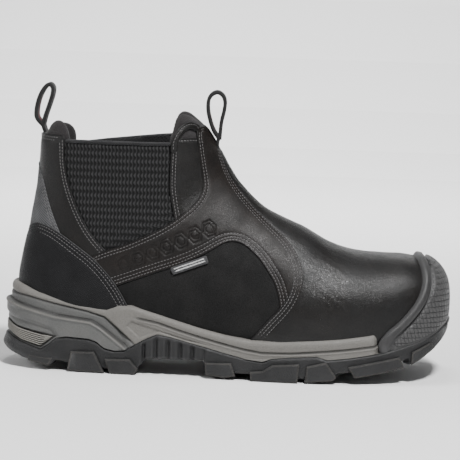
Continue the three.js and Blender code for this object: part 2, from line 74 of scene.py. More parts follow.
# ---------------------------------------------------------------- the skin of the upper
# One row per ring of the upper, from the toe tip to above the collar. Columns: front x, front z,
# back x, back z, middle y, half width, height of the widest place as a share of the ring,
# roundness of the front half and of the back half, where 2 is an ellipse.
RINGS = np.array([
    (150.3, 58, 150.3, 46, 8, 9, 0.5, 2.0, 2.0),
    (149, 66.5, 149, 39, 7, 20, 0.42, 2.2, 2.6),
    (144.5, 74, 144.5, 34, 5.5, 30, 0.4, 2.4, 3.2),
    (136, 79.3, 135.5, 29, 4.5, 37.5, 0.38, 2.5, 4.0),
    (122, 82, 121, 23.8, 2.5, 43, 0.36, 2.5, 4.5),
    (104, 82.6, 102, 20, 0.5, 46.5, 0.34, 2.4, 5.0),
    (86, 84.6, 80, 17.8, -1.5, 48.5, 0.32, 2.3, 5.0),
    (70, 89.5, 56, 17, -2.5, 48.5, 0.3, 2.2, 5.0),
    (53, 98.7, 30, 17.8, -3.5, 46.5, 0.28, 2.1, 5.0),
    (36, 106, 3, 20.5, -4.5, 43.5, 0.28, 2.0, 4.5),
    (22, 113.5, -26, 24, -4.5, 40.5, 0.3, 2.0, 4.5),
    (11, 122.8, -58, 27, -3.5, 38.5, 0.34, 2.0, 4.2),
    (3, 131.8, -90, 29.3, -2, 37.5, 0.38, 2.0, 4.0),
    (-2, 139, -118, 31, -1, 37, 0.42, 2.05, 3.6),
    (-5, 143.8, -136, 35.5, -0.5, 36.5, 0.45, 2.1, 3.0),
    (-7.2, 148, -145.2, 52, 0, 36.3, 0.46, 2.15, 2.5),
    (-9.2, 151.5, -143, 76, 0, 36.2, 0.47, 2.2, 2.3),
    (-10.7, 154, -138.5, 101, 0, 36.2, 0.47, 2.2, 2.3),
    (-12.1, 156.7, -134.8, 128, 0, 36.5, 0.47, 2.25, 2.3),
    (-14.5, 160.8, -133.8, 153, 0, 37, 0.47, 2.3, 2.3),
    (-20, 170, -134, 171, 0, 37, 0.47, 2.3, 2.3),
    (-26, 180, -133.5, 186, 0, 37, 0.47, 2.3, 2.3),
])
LAST_RING = len(RINGS) - 1
FULL_TURN = 2 * math.pi


def curve_point(a, b, c, d, u):
    """The place at share u between b and c, on a smooth curve through four points."""
    return b + 0.5 * u * (c - a + u * (2 * a - 5 * b + 4 * c - d + u * (3 * (b - c) + d - a)))


def ring_values(t):
    """The columns of RINGS at ring number t, on a smooth curve through the rows."""
    i = min(int(t), LAST_RING - 1)
    a, b, c, d = (RINGS[min(max(k, 0), LAST_RING)] for k in range(i - 1, i + 3))
    return curve_point(a, b, c, d, t - i)


def ring_points(t, shares):
    """Points of ring t at even shares of its length, from the front point round the outside."""
    front_x, front_z, back_x, back_z, middle, half, belly, n_front, n_back = ring_values(t)
    angle = np.linspace(0, FULL_TURN, 721)
    c, s = np.cos(angle), np.sin(angle)
    power = 2 / np.where(c >= 0, n_front, n_back)
    height = belly + np.where(c >= 0, 1 - belly, -belly) * np.abs(c) ** power
    side = -np.sign(s) * np.abs(s) ** power
    points = np.stack([
        back_x + (front_x - back_x) * height,
        middle + half * side,
        back_z + (front_z - back_z) * height,
    ], axis=1)
    steps = np.linalg.norm(np.diff(points, axis=0), axis=1)
    lengths = np.concatenate([[0], np.cumsum(steps)])
    wanted = np.asarray(shares) * lengths[-1]
    return np.stack([np.interp(wanted, lengths, points[:, k]) for k in range(3)], axis=1)


def even_rings(first, last, step):
    """Ring numbers that lie about step apart over the skin."""
    tries = np.linspace(first, last, 160)
    shares = (0.0, 0.15, 0.25, 0.35, 0.5)
    points = np.stack([ring_points(t, shares) for t in tries])
    gaps = np.linalg.norm(np.diff(points, axis=0), axis=2).mean(axis=1)
    lengths = np.concatenate([[0], np.cumsum(gaps)])
    count = max(2, round(lengths[-1] / step))
    return np.interp(np.linspace(0, lengths[-1], count + 1), lengths, tries)


def leather_lumps(co):
    """How far worn leather swells or sinks at a place."""
    return 0.45 * noise.noise(co / 26) + 0.2 * noise.noise(co / 9)


def grid_mesh(points):
    """A bmesh grid whose rows and columns are the rows and columns of points."""
    rows, columns = points.shape[:2]
    bm = bmesh.new()
    bmesh.ops.create_grid(bm, x_segments=columns - 1, y_segments=rows - 1, size=1)
    for vert, point in zip(bm.verts, points.reshape(-1, 3)):
        vert.co = point
    return bm


def append_mesh(bm, part):
    """Adds a bmesh to another and frees it."""
    mesh = bpy.data.meshes.new("part")
    part.to_mesh(mesh)
    part.free()
    bm.from_mesh(mesh)
    bpy.data.meshes.remove(mesh)


def raise_verts(bm, lifts):
    """Moves each vertex along its normal by its lift."""
    for vert, lift in zip(bm.verts, lifts):
        vert.co += vert.normal * lift
    bm.normal_update()


def drop_verts(bm, verts):
    bmesh.ops.delete(bm, geom=verts, context="VERTS")


def only_verts(geometry):
    return [item for item in geometry if isinstance(item, bmesh.types.BMVert)]


def only_faces(geometry):
    return [item for item in geometry if isinstance(item, bmesh.types.BMFace)]


SKIN_GIRTH = 230  # usual length round a ring
TIP_SHARES, TIP_BULGE = (0.75, 0.5, 0.25, 0.0), 0.6


def skin_patch(rings, shares, step):
    """A grid of about that step, laid on the leather's outer face and closed at the toe tip."""
    columns = max(3, round((shares[1] - shares[0]) * SKIN_GIRTH / step))
    around = np.linspace(*shares, columns + 1)
    rows = [ring_points(t, around) for t in even_rings(*rings, step)]
    if rings[0] == 0:
        middle = rows[0].mean(axis=0)
        for share in TIP_SHARES:
            bulge = (TIP_BULGE * (1 - share ** 2), 0, 0)
            rows.insert(0, middle + (ring_points(0, around) - middle) * share + bulge)
    bm = grid_mesh(np.stack(rows))
    if rings[0] == 0:
        bmesh.ops.remove_doubles(bm, verts=bm.verts[:len(around)], dist=0.001)
    if shares == BOTH:
        bmesh.ops.remove_doubles(bm, verts=bm.verts, dist=0.001)
    point_outwards(bm)
    raise_verts(bm, [leather_lumps(v.co) for v in bm.verts])
    return bm


def point_outwards(bm):
    """Turns an open patch of skin so that its faces point away from the foot."""
    bm.normal_update()
    outward = sum(1 if f.normal.y * f.calc_center_median().y > 0 else -1 for f in bm.faces)
    if outward < 0:
        bmesh.ops.reverse_faces(bm, faces=bm.faces)
        bm.normal_update()


# ---------------------------------------------------------------- outlines seen from the side
def smooth(points, steps=6):
    """A smooth curve through points of a plane."""
    p = np.array(points, float)
    curve = []
    for i in range(len(p) - 1):
        near = p[max(i - 1, 0)], p[i], p[i + 1], p[min(i + 2, len(p) - 1)]
        curve += [tuple(curve_point(*near, u)) for u in np.arange(steps) / steps]
    return curve + [tuple(p[-1])]


class Outline:
    """A closed outline made of runs, each with the stitch rows that follow it."""

    def __init__(self, *runs):
        self.points, self.rows = [], []
        for points, rows in runs:
            self.points += points
            self.rows += [tuple(rows)] * len(points)
        self.points = np.array(self.points, float)

    def distances(self, xz):
        """Signed distance of each point from the outline, positive inside, and nearest side."""
        a = self.points
        b = np.roll(a, -1, axis=0)
        along = b - a
        length2 = np.maximum((along ** 2).sum(axis=1), 1e-9)
        offset = xz[:, None, :] - a[None]
        share = np.clip((offset * along).sum(axis=2) / length2, 0, 1)
        gap = np.linalg.norm(offset - share[..., None] * along, axis=2)
        x, z = xz[:, 0:1], xz[:, 1:2]
        crosses = (a[:, 1] > z) != (b[:, 1] > z)
        rise = np.where(np.abs(along[:, 1]) < 1e-9, 1e-9, along[:, 1])
        hits = crosses & (x < a[:, 0] + (z - a[:, 1]) / rise * along[:, 0])
        inside = hits.sum(axis=1) % 2 == 1
        return np.where(inside, 1, -1) * gap.min(axis=1), gap.argmin(axis=1)


def inside_distance(points, x, z):
    """How far inside a plain outline each place is. x and z are arrays of one shape."""
    places = np.column_stack([x.ravel(), z.ravel()])
    return Outline((points, ())).distances(places)[0].reshape(x.shape)


def surface_distances(bm, outline):
    """Distances from the outline measured along the skin, not across the side view."""
    co = np.array([v.co for v in bm.verts])
    normal = np.array([v.normal for v in bm.verts])
    here, nearest = outline.distances(co[:, (0, 2)])
    nudge, steepest = 0.05, 0.08
    slope_x = (outline.distances(co[:, (0, 2)] + (nudge, 0))[0] - here) / nudge
    slope_z = (outline.distances(co[:, (0, 2)] + (0, nudge))[0] - here) / nudge
    facing = slope_x * normal[:, 0] + slope_z * normal[:, 2]
    return here / np.sqrt(np.maximum(1 - facing ** 2, steepest)), nearest


NEARLY = 1e-4


def cut_at(bm, layer, level, pinned):
    """Runs an edge loop along the places where the layer's value is level.

    Vertices close to it are moved onto it, except those of the loops cut before.
    """
    snap = 0.2

    def crossing(near, far):
        low, high = near[layer] - level, far[layer] - level
        return low / (low - high) if low * high < 0 and min(abs(low), abs(high)) > NEARLY else 0

    for edge in bm.edges:
        for near, far in (edge.verts, reversed(edge.verts)):
            share = crossing(near, far)
            if 0 < share < snap and near not in pinned:
                near.co = near.co.lerp(far.co, share)
                near[layer] = level
                pinned.add(near)
    for edge in list(bm.edges):
        share = crossing(*edge.verts)
        if share:
            _, made = bmesh.utils.edge_split(edge, edge.verts[0], share)
            made[layer] = level
    there = [v for v in bm.verts if abs(v[layer] - level) < NEARLY]
    pinned.update(there)
    bmesh.ops.connect_verts(bm, verts=there)


def seam_chains(bm, layer, level, side_layer, rows):
    """The edge loops at that level, where they follow a run that has such a stitch row."""
    def stitched(vert):
        return abs(vert[layer] - level) < NEARLY and level in rows[vert[side_layer]]

    edges = [e for e in bm.edges if stitched(e.verts[0]) and stitched(e.verts[1])]
    links = {}
    for edge in edges:
        for vert in edge.verts:
            links.setdefault(vert, []).append(edge)
    unused = set(edges)
    chains = []
    ends = [v for v, es in links.items() if len(es) == 1] + list(links)
    for start in ends:
        chain = [start]
        while True:
            following = [e for e in links[chain[-1]] if e in unused]
            if not following:
                break
            unused.discard(following[0])
            chain.append(following[0].other_vert(chain[-1]))
        if len(chain) > 3:
            chains.append([(v.co.copy(), v.normal.copy()) for v in chain])
    return chains


# ---------------------------------------------------------------- making pieces
def finish_piece(name, bm, looks, replaced=(), body="boot"):
    """Turns a bmesh in millimetres into an object with those finishes that rides on a body."""
    bmesh.ops.scale(bm, verts=bm.verts, vec=(MM, MM, MM))
    mesh = bpy.data.meshes.new(name)
    bm.to_mesh(mesh)
    bm.free()
    for look in [looks] if isinstance(looks, str) else looks:
        mesh.materials.append(LOOKS[look])
    mesh.shade_smooth()
    piece = bpy.data.objects.new(name, mesh)
    bpy.context.collection.objects.link(piece)
    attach(piece, body)
    if replaced:
        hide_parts(*replaced)
    return piece


EDGE_RADIUS, EDGE_DROP = 0.9, 0.75
SEAM_PRESS, SEAM_WIDTH = 0.32, 0.7
PILLOW, PILLOW_RUN = 0.35, 5.0  # how far a panel swells past its last stitch row, and over what run
LEVEL_GAP = 0.3  # least distance between two edge loops


def rolled_edge(distance):
    """How far a face drops towards its cut edge."""
    inward = np.clip(distance, 0, EDGE_RADIUS)
    return -EDGE_DROP * (EDGE_RADIUS - np.sqrt(EDGE_RADIUS ** 2 - (EDGE_RADIUS - inward) ** 2))


def cut_panel(outline, shares, rings, step, levels=()):
    """A patch of skin cut to an outline, with its distance from the edge in layer "edge"."""
    bm = skin_patch(rings, shares, step)
    edge = bm.verts.layers.float.new("edge")
    side = bm.verts.layers.int.new("side")
    distances, nearest = surface_distances(bm, outline)
    for vert, distance, index in zip(bm.verts, distances, nearest):
        vert[edge] = distance
        vert[side] = int(index)
    drop_verts(bm, [v for v in bm.verts if v[edge] < -4 * step])
    pinned = set()
    cut_at(bm, edge, 0.0, pinned)
    drop_verts(bm, [v for v in bm.verts if v[edge] < -NEARLY])
    for level in levels:
        cut_at(bm, edge, level, pinned)
    bm.normal_update()
    return bm, edge, side


SEAMS = []  # every stitch row: its points with their normals


def leather_panel(name, outline, look, replaced, height, shares=BOTH,
                  rings=(0, LAST_RING), thickness=1.5, step=2.4, relief=None, finer=None):
    """A stitched panel: cut, pressed along its seams, raised to its layer and given thickness."""
    rows = sorted({row for side_rows in outline.rows for row in side_rows})
    levels = list(rows)
    beside = [row + gap for row in rows for gap in (-0.8, 0.8)]
    for level in [LEVEL_GAP, EDGE_RADIUS] + beside:
        if all(abs(level - other) > LEVEL_GAP for other in levels):
            levels.append(level)
    bm, edge, side = cut_panel(outline, shares, rings, step, sorted(levels))
    if finer:
        inside = {e for f in bm.faces if finer(f.calc_center_median()) for e in f.edges}
        bmesh.ops.subdivide_edges(bm, edges=list(inside), cuts=4, use_grid_fill=True)
        bm.normal_update()
    lifts = []
    for vert in bm.verts:
        distance, stitched = vert[edge], outline.rows[vert[side]]
        lift = height + rolled_edge(distance)
        for row in stitched:
            lift -= SEAM_PRESS * math.exp(-((distance - row) / SEAM_WIDTH) ** 2)
        past = max(distance - max(stitched, default=0), 0)
        lift += PILLOW * (1 - math.exp(-past / PILLOW_RUN))
        lifts.append(lift + relief(vert.co) if relief else lift)
    raise_verts(bm, lifts)
    for row in rows:
        SEAMS.extend(seam_chains(bm, edge, row, side, outline.rows))
    bmesh.ops.solidify(bm, geom=bm.faces[:], thickness=thickness)
    return finish_piece(name, bm, look, replaced)


def thicken(bm, thickness):
    """Gives an open sheet an inner face and a rim, all at that depth along the normals."""
    bm.normal_update()
    depths = {v: v.normal * thickness for v in bm.verts}
    outer = bm.faces[:]
    copy = bmesh.ops.duplicate(bm, geom=bm.verts[:] + bm.edges[:] + outer)
    for vert, twin in copy["vert_map"].items():
        if vert in depths:
            twin.co -= depths[vert]
    rims = [e for e in bm.edges if e.is_boundary]
    bmesh.ops.reverse_faces(bm, faces=only_faces(copy["geom"]))
    bmesh.ops.bridge_loops(bm, edges=rims)
    bmesh.ops.recalc_face_normals(bm, faces=bm.faces)


def padded_panel(name, outline, look, replaced, outer, inner, shares=BOTH,
                 rings=(0, LAST_RING), step=2.0, roll=3.4):
    """A pad that is round along every edge: an outer and an inner face joined at the outline."""
    levels = [roll * share for share in (0.06, 0.25, 0.6, 1.0)]
    bm, edge, _ = cut_panel(outline, shares, rings, step, levels)
    middle, half = (outer + inner) / 2, (outer - inner) / 2
    copy = bmesh.ops.duplicate(bm, geom=bm.verts[:] + bm.edges[:] + bm.faces[:])["geom"]
    inner_verts = set(only_verts(copy))
    moves = []
    for vert in bm.verts:
        share = min(vert[edge] / roll, 1)
        swell = half * math.sqrt(max(0, 1 - (1 - share) ** 2))
        moves.append(vert.normal * (middle + (-swell if vert in inner_verts else swell)))
    for vert, move in zip(bm.verts, moves):
        vert.co += move
    bmesh.ops.reverse_faces(bm, faces=only_faces(copy))
    bmesh.ops.remove_doubles(bm, verts=bm.verts, dist=0.02)
    return finish_piece(name, bm, look, replaced)


STITCH_PITCH, STITCH_LENGTH, THREAD = 2.25, 1.75, 0.6
STITCH_REACH, STITCH_SINK = 0.8, 0.12


def make_stitches():
    """Every visible stitch: a short fat thread lying along its seam."""
    whole = bmesh.new()
    for number, chain in enumerate(SEAMS):
        points = np.array([p for p, _ in chain])
        normals = np.array([n for _, n in chain])
        for _ in range(3):
            points[1:-1] = (points[:-2] + 2 * points[1:-1] + points[2:]) / 4
        steps = np.linalg.norm(np.diff(points, axis=0), axis=1)
        lengths = np.concatenate([[0], np.cumsum(steps)])
        start = STITCH_PITCH * (0.5 + 0.5 * (number % 2))
        row = bmesh.new()
        for place in np.arange(start, lengths[-1] - 0.5, STITCH_PITCH):
            at = [Vector([np.interp(s, lengths, points[:, k]) for k in range(3)])
                  for s in (place - STITCH_REACH, place, place + STITCH_REACH)]
            normal = Vector([np.interp(place, lengths, normals[:, k]) for k in range(3)])
            lay_stitch(row, at, normal)
        append_mesh(whole, row)
    finish_piece("stitching", whole, "thread")


def lay_stitch(bm, at, normal):
    along_seam = (at[2] - at[0]).normalized()
    up = (normal - along_seam * along_seam.dot(normal)).normalized()
    across = up.cross(along_seam)
    turn = Matrix((across, up, along_seam)).transposed().to_4x4()
    size = Matrix.Diagonal((THREAD / 2, THREAD / 2, STITCH_LENGTH / 2, 1))
    bmesh.ops.create_uvsphere(bm, u_segments=6, v_segments=4, radius=1,
                              matrix=Matrix.Translation(at[1] + up * STITCH_SINK) @ turn @ size)


# ---------------------------------------------------------------- material building blocks
def add_node(tree, kind, inputs=None, **settings):
    """A new node with its settings and inputs; an input is a value or a socket to link."""
    node = tree.nodes.new(kind)
    for key, value in settings.items():
        setattr(node, key, value)
    for key, value in (inputs or {}).items():
        socket = node.inputs[key]
        if isinstance(value, bpy.types.NodeSocket):
            tree.links.new(value, socket)
        else:
            socket.default_value = value
    return node


def math_node(tree, operation, a, b=0.0, clamp=False):
    node = add_node(tree, "ShaderNodeMath", {0: a, 1: b}, operation=operation, use_clamp=clamp)
    return node.outputs[0]


def times(tree, a, b):
    return math_node(tree, "MULTIPLY", a, b)


def plus(tree, a, b, clamp=False):
    return math_node(tree, "ADD", a, b, clamp)


def minus(tree, a, b, clamp=False):
    return math_node(tree, "SUBTRACT", a, b, clamp)


def sine(tree, a):
    return math_node(tree, "SINE", a)


def remap(tree, value, low, high, to_low=0.0, to_high=1.0):
    node = add_node(tree, "ShaderNodeMapRange", {
        "Value": value, "From Min": low, "From Max": high, "To Min": to_low, "To Max": to_high,
    })
    return node.outputs["Result"]


def mix_colors(tree, share, a, b, strength=None):
    """Colour a moving towards colour b with share, at most as far as strength."""
    if strength is not None:
        share = times(tree, share, strength)
    node = add_node(tree, "ShaderNodeMix", {"Factor": share, 6: a, 7: b}, data_type="RGBA")
    return node.outputs[2]


def tint(color, factor=1.0, dust_and_highlight=0.0):
    """A colour with alpha, made lighter or darker; the last value is added to each part and is only
    given to lift a painted highlight.
    """
    return tuple(min(1, part * factor + dust_and_highlight) for part in color) + (1,)


def object_place(tree):
    """Object coordinates in millimetres."""
    place = add_node(tree, "ShaderNodeTexCoord").outputs["Object"]
    return vector_node(tree, "SCALE", {0: place, 3: 1 / MM})


def vector_node(tree, operation, inputs):
    return add_node(tree, "ShaderNodeVectorMath", inputs, operation=operation).outputs[0]


def axes(tree, vector):
    return add_node(tree, "ShaderNodeSeparateXYZ", {0: vector}).outputs


def attribute(tree, name):
    return add_node(tree, "ShaderNodeAttribute", attribute_name=name).outputs["Fac"]


def noise_node(tree, **values):
    inputs = {"Vector": object_place(tree)}
    inputs.update({label.capitalize(): value for label, value in values.items()})
    return add_node(tree, "ShaderNodeTexNoise", inputs).outputs


def noise_value(tree, scale, low=0.35, high=0.65, detail=3.0):
    return remap(tree, noise_node(tree, scale=scale, detail=detail)["Fac"], low, high)


def new_group(name, inputs, outputs):
    """An empty shader group with float inputs and outputs, and its two end nodes."""
    group = bpy.data.node_groups.new(name, "ShaderNodeTree")
    for label, value in inputs.items():
        socket = group.interface.new_socket(label, in_out="INPUT", socket_type="NodeSocketFloat")
        socket.default_value = value
    for label in outputs:
        group.interface.new_socket(label, in_out="OUTPUT", socket_type="NodeSocketFloat")
    given, result = group.nodes.new("NodeGroupInput"), group.nodes.new("NodeGroupOutput")
    return group, given.outputs, result.inputs


def pebble_group():
    """Leather grain: rounded pebbles with fine valleys, broken up by a softer noise."""
    group, given, result = new_group("pebble_grain", {"Size": 1.0}, ["Height", "Patches"])
    place = object_place(group)
    warp = noise_node(group, scale=0.35, detail=3.0)["Color"]
    bent = vector_node(group, "MULTIPLY", {0: warp, 1: (1.6, 1.6, 1.6)})
    moved = vector_node(group, "ADD", {0: place, 1: bent})
    scale = math_node(group, "DIVIDE", 1.0, given["Size"])
    cells = add_node(group, "ShaderNodeTexVoronoi", {"Vector": moved, "Scale": scale},
                     feature="DISTANCE_TO_EDGE")
    pebbles = remap(group, cells.outputs["Distance"], 0.0, 0.32)
    fine = noise_node(group, scale=2.2, detail=4.0)["Fac"]
    height = plus(group, times(group, pebbles, 0.75), times(group, fine, 0.5))
    group.links.new(height, result["Height"])
    broad = noise_node(group, scale=0.05, detail=5.0, roughness=0.6)["Fac"]
    group.links.new(remap(group, broad, 0.38, 0.68), result["Patches"])
    return group


def edge_group():
    """How near a cut edge a place is, from 1 at the edge to 0 past Width, a little broken up."""
    group, given, result = new_group("cut_edge", {"Width": 1.0}, ["Mask"])
    rough = noise_node(group, scale=0.6)["Fac"]
    bent = plus(group, attribute(group, "edge"), remap(group, rough, 0.3, 0.7, -0.3, 0.3))
    share = math_node(group, "DIVIDE", bent, given["Width"])
    group.links.new(minus(group, 1.0, share, clamp=True), result["Mask"])
    return group


def weave_group():
    """Plain weave: over-and-under threads along two turned directions of the side view."""
    group, given, result = new_group("plain_weave", {"Pitch": 1.0, "Turn": 0.0}, ["Height"])
    angles = add_node(group, "ShaderNodeCombineXYZ", {"Y": given["Turn"]}).outputs[0]
    turned = add_node(group, "ShaderNodeVectorRotate",
                      {"Vector": object_place(group), "Rotation": angles},
                      rotation_type="EULER_XYZ").outputs[0]
    parts = axes(group, turned)
    scale = math_node(group, "DIVIDE", math.pi, given["Pitch"])
    across = sine(group, times(group, plus(group, parts[0], parts[1]), scale))
    up = sine(group, times(group, parts[2], scale))
    warp, weft = math_node(group, "ABSOLUTE", across), math_node(group, "ABSOLUTE", up)
    high = remap(group, times(group, across, up), -0.2, 0.2)
    low_part = times(group, weft, minus(group, 1.0, high))
    group.links.new(plus(group, times(group, warp, high), low_part), result["Height"])
    return group


GROUPS = {"pebble": pebble_group(), "edge": edge_group(), "weave": weave_group()}


def place_group(tree, key, **values):
    """A shared group with its settings; returns its outputs."""
    node = tree.nodes.new("ShaderNodeGroup")
    node.node_tree = GROUPS[key]
    for label, value in values.items():
        node.inputs[label.capitalize()].default_value = value
    return node.outputs


def new_material(name, roughness=0.5, metallic=0.0, **shader_values):
    """A material with its Principled shader's own steady values set."""
    material = bpy.data.materials.new(name)
    material.use_nodes = True
    shader = material.node_tree.nodes["Principled BSDF"]
    shader.inputs["Roughness"].default_value = roughness
    shader.inputs["Metallic"].default_value = metallic
    for label, value in shader_values.items():
        shader.inputs[label.replace("_", " ")].default_value = value
    return material, material.node_tree, shader


def wire(tree, shader, color, roughness, height, depth):
    """Links the colour, roughness and relief of a finish to its shader."""
    bump = add_node(tree, "ShaderNodeBump", {"Height": height, "Distance": depth * MM})
    for socket, label in ((color, "Base Color"), (roughness, "Roughness"),
                          (bump.outputs["Normal"], "Normal")):
        tree.links.new(socket, shader.inputs[label])


def leather(name, base, lifted, roughness, grain, depth, creases=0.0, spec=0.22):
    """Black leather: grain, lighter pulled-up patches, and a cut edge darkened as a painted shadow
    line.
    """
    material, tree, shader = new_material(name, roughness, Specular_IOR_Level=spec)
    pebble = place_group(tree, "pebble", size=grain)
    edge = place_group(tree, "edge", width=1.1)["Mask"]
    height, patches = pebble["Height"], pebble["Patches"]
    color = mix_colors(tree, patches, tint(base), tint(lifted))
    color = mix_colors(tree, remap(tree, height, 0.25, 0.75), tint(base, 0.55), color)
    # painted shadow line: the colour darkens to near black towards each cut edge
    color = mix_colors(tree, edge, color, tint(base, 0.3), 0.85)
    rough = plus(tree, remap(tree, height, 0.2, 1.0, roughness + 0.2, roughness),
                 remap(tree, patches, 0, 1, 0.05, -0.05), clamp=True)
    if creases:
        height = plus(tree, height, times(tree, toe_folds(tree), creases))
    wire(tree, shader, color, rough, height, depth)
    return material


def toe_folds(tree):
    """Soft slanting folds where the toes bend, between the ends of the flex zone."""
    place = object_place(tree)
    lines = add_node(tree, "ShaderNodeTexWave", {
        "Vector": place, "Scale": 0.06, "Distortion": 9.0, "Detail": 4.0, "Detail Scale": 0.6,
    }, wave_type="BANDS", bands_direction="DIAGONAL").outputs["Fac"]
    where = axes(tree, place)[0]
    flex = times(tree, remap(tree, where, 30, 55), remap(tree, where, 105, 70))
    return times(tree, lines, flex)


def stamped_sheet(name, base, raised, pitch, kind, roughness):
    """A tough sheet with a stamped pattern of small squares or slanted ribs, its raised parts
    painted lighter as a painted highlight.
    """
    material, tree, shader = new_material(name, roughness, Specular_IOR_Level=0.18)
    parts = axes(tree, object_place(tree))
    across = minus(tree, parts[0], times(tree, parts[1], 0.8))
    turns = FULL_TURN / pitch
    if kind == "squares":
        cosine, sine_part = 0.97, 0.26
        a = plus(tree, times(tree, across, cosine), times(tree, parts[2], sine_part))
        b = minus(tree, parts[2], times(tree, across, sine_part))
        waves = [sine(tree, times(tree, value, turns)) for value in (a, b)]
        pattern = remap(tree, times(tree, *waves), -0.35, 0.35)
    else:
        slant = plus(tree, times(tree, across, 0.5), parts[2])
        pattern = remap(tree, sine(tree, times(tree, slant, turns)), -0.6, 0.6)
    # painted highlight: the raised squares or ribs are painted lighter than the sunken parts
    color = mix_colors(tree, pattern, tint(base), tint(raised))
    color = mix_colors(tree, noise_value(tree, 0.08), color, tint(raised, 1.6), 0.4)
    edge = place_group(tree, "edge", width=0.9)["Mask"]
    color = mix_colors(tree, edge, color, (0.1, 0.1, 0.1, 1), 0.4)
    fine = noise_value(tree, 1.5)
    rough = remap(tree, fine, 0, 1, roughness - 0.06, roughness + 0.1)
    wire(tree, shader, color, rough, plus(tree, pattern, times(tree, fine, 0.25)), 0.16)
    return material


def cloth(name, base, thread, pitch, turn, depth, fuzz):
    """Woven or knitted fabric."""
    material, tree, shader = new_material(name, 0.9, Sheen_Weight=fuzz, Sheen_Roughness=0.5,
                                          Specular_IOR_Level=0.2)
    weave = place_group(tree, "weave", pitch=pitch, turn=turn)["Height"]
    fluff = noise_value(tree, 1.2, detail=5.0)
    color = mix_colors(tree, weave, tint(base), tint(thread))
    color = mix_colors(tree, fluff, color, tint(thread, 1.7), 0.35)
    height = plus(tree, weave, times(tree, fluff, 0.5))
    wire(tree, shader, color, remap(tree, fluff, 0, 1, 0.78, 0.98), height, depth)
    return material


def moulded(name, base, blotch_and_highlight, roughness, grain, depth):
    """Moulded rubber or foam: a fine spark-eroded grain, random lighter blotches, and pointy convex
    edges painted lighter as a painted highlight.
    """
    material, tree, shader = new_material(name, roughness, Specular_IOR_Level=0.32)
    fine = noise_value(tree, grain, detail=4.0)
    broad = noise_value(tree, 0.06, detail=5.0)
    highlight_pointiness = add_node(tree, "ShaderNodeNewGeometry").outputs["Pointiness"]
    color = mix_colors(tree, broad, tint(base), tint(blotch_and_highlight), 0.45)
    # painted highlight: pointy convex edges are painted lighter, as if they caught the light
    color = mix_colors(tree, remap(tree, highlight_pointiness, 0.51, 0.6), color, tint(blotch_and_highlight, 1.5, 0.02), 0.6)
    rough = remap(tree, fine, 0, 1, roughness - 0.08, roughness + 0.08)
    wire(tree, shader, color, rough, fine, depth)
    return material


def ribbed_elastic(name, gap, rib_highlight):
    """Elastic fabric: the covered ribs are painted lighter as a painted highlight, and the gaps
    between them get near-black painted shade.
    """
    material, tree, shader = new_material(name, 0.7, Sheen_Weight=0.06, Specular_IOR_Level=0.25)
    rib = attribute(tree, "rib")
    weave = place_group(tree, "weave", pitch=0.5, turn=0.0)["Height"]
    light = times(tree, remap(tree, rib, 0.25, 0.85), remap(tree, weave, 0, 1, 0.55, 1))
    # painted highlight on the rib tops and painted shade in the gaps between them
    color = mix_colors(tree, light, tint(gap), tint(rib_highlight))
    wire(tree, shader, color, remap(tree, rib, 0, 1, 0.9, 0.55), weave, 0.08)
    return material


def brushed_metal(name, base):
    material, tree, shader = new_material(name, 0.35, metallic=1.0)
    streaks = noise_value(tree, 0.9, detail=6.0)
    color = mix_colors(tree, streaks, tint(base), tint(base, 0.7))
    wire(tree, shader, color, remap(tree, streaks, 0, 1, 0.28, 0.45), streaks, 0.03)
    return material


def two_tone_foam(name, body, band, dust_and_highlight, stain, groove_shade):
    """Midsole foam: warm pale bands (one of them a painted highlight stripe), a cooler grey body
    and near-black painted shade in the grooves.
    """
    material, tree, shader = new_material(name, 0.58, Specular_IOR_Level=0.32)
    fine, broad = noise_value(tree, 1.0, detail=4.0), noise_value(tree, 0.06, detail=5.0)
    color = mix_colors(tree, attribute(tree, "pale"), tint(body), tint(band))
    color = mix_colors(tree, broad, color, tint(dust_and_highlight), 0.2)
    color = mix_colors(tree, fine, color, tint(stain), 0.2)
    # painted shade: the grooves and the sunken heel window are darkened to near black
    color = mix_colors(tree, attribute(tree, "groove"), color, tint(groove_shade), 0.92)
    wire(tree, shader, color, remap(tree, fine, 0, 1, 0.5, 0.66), fine, 0.08)
    return material


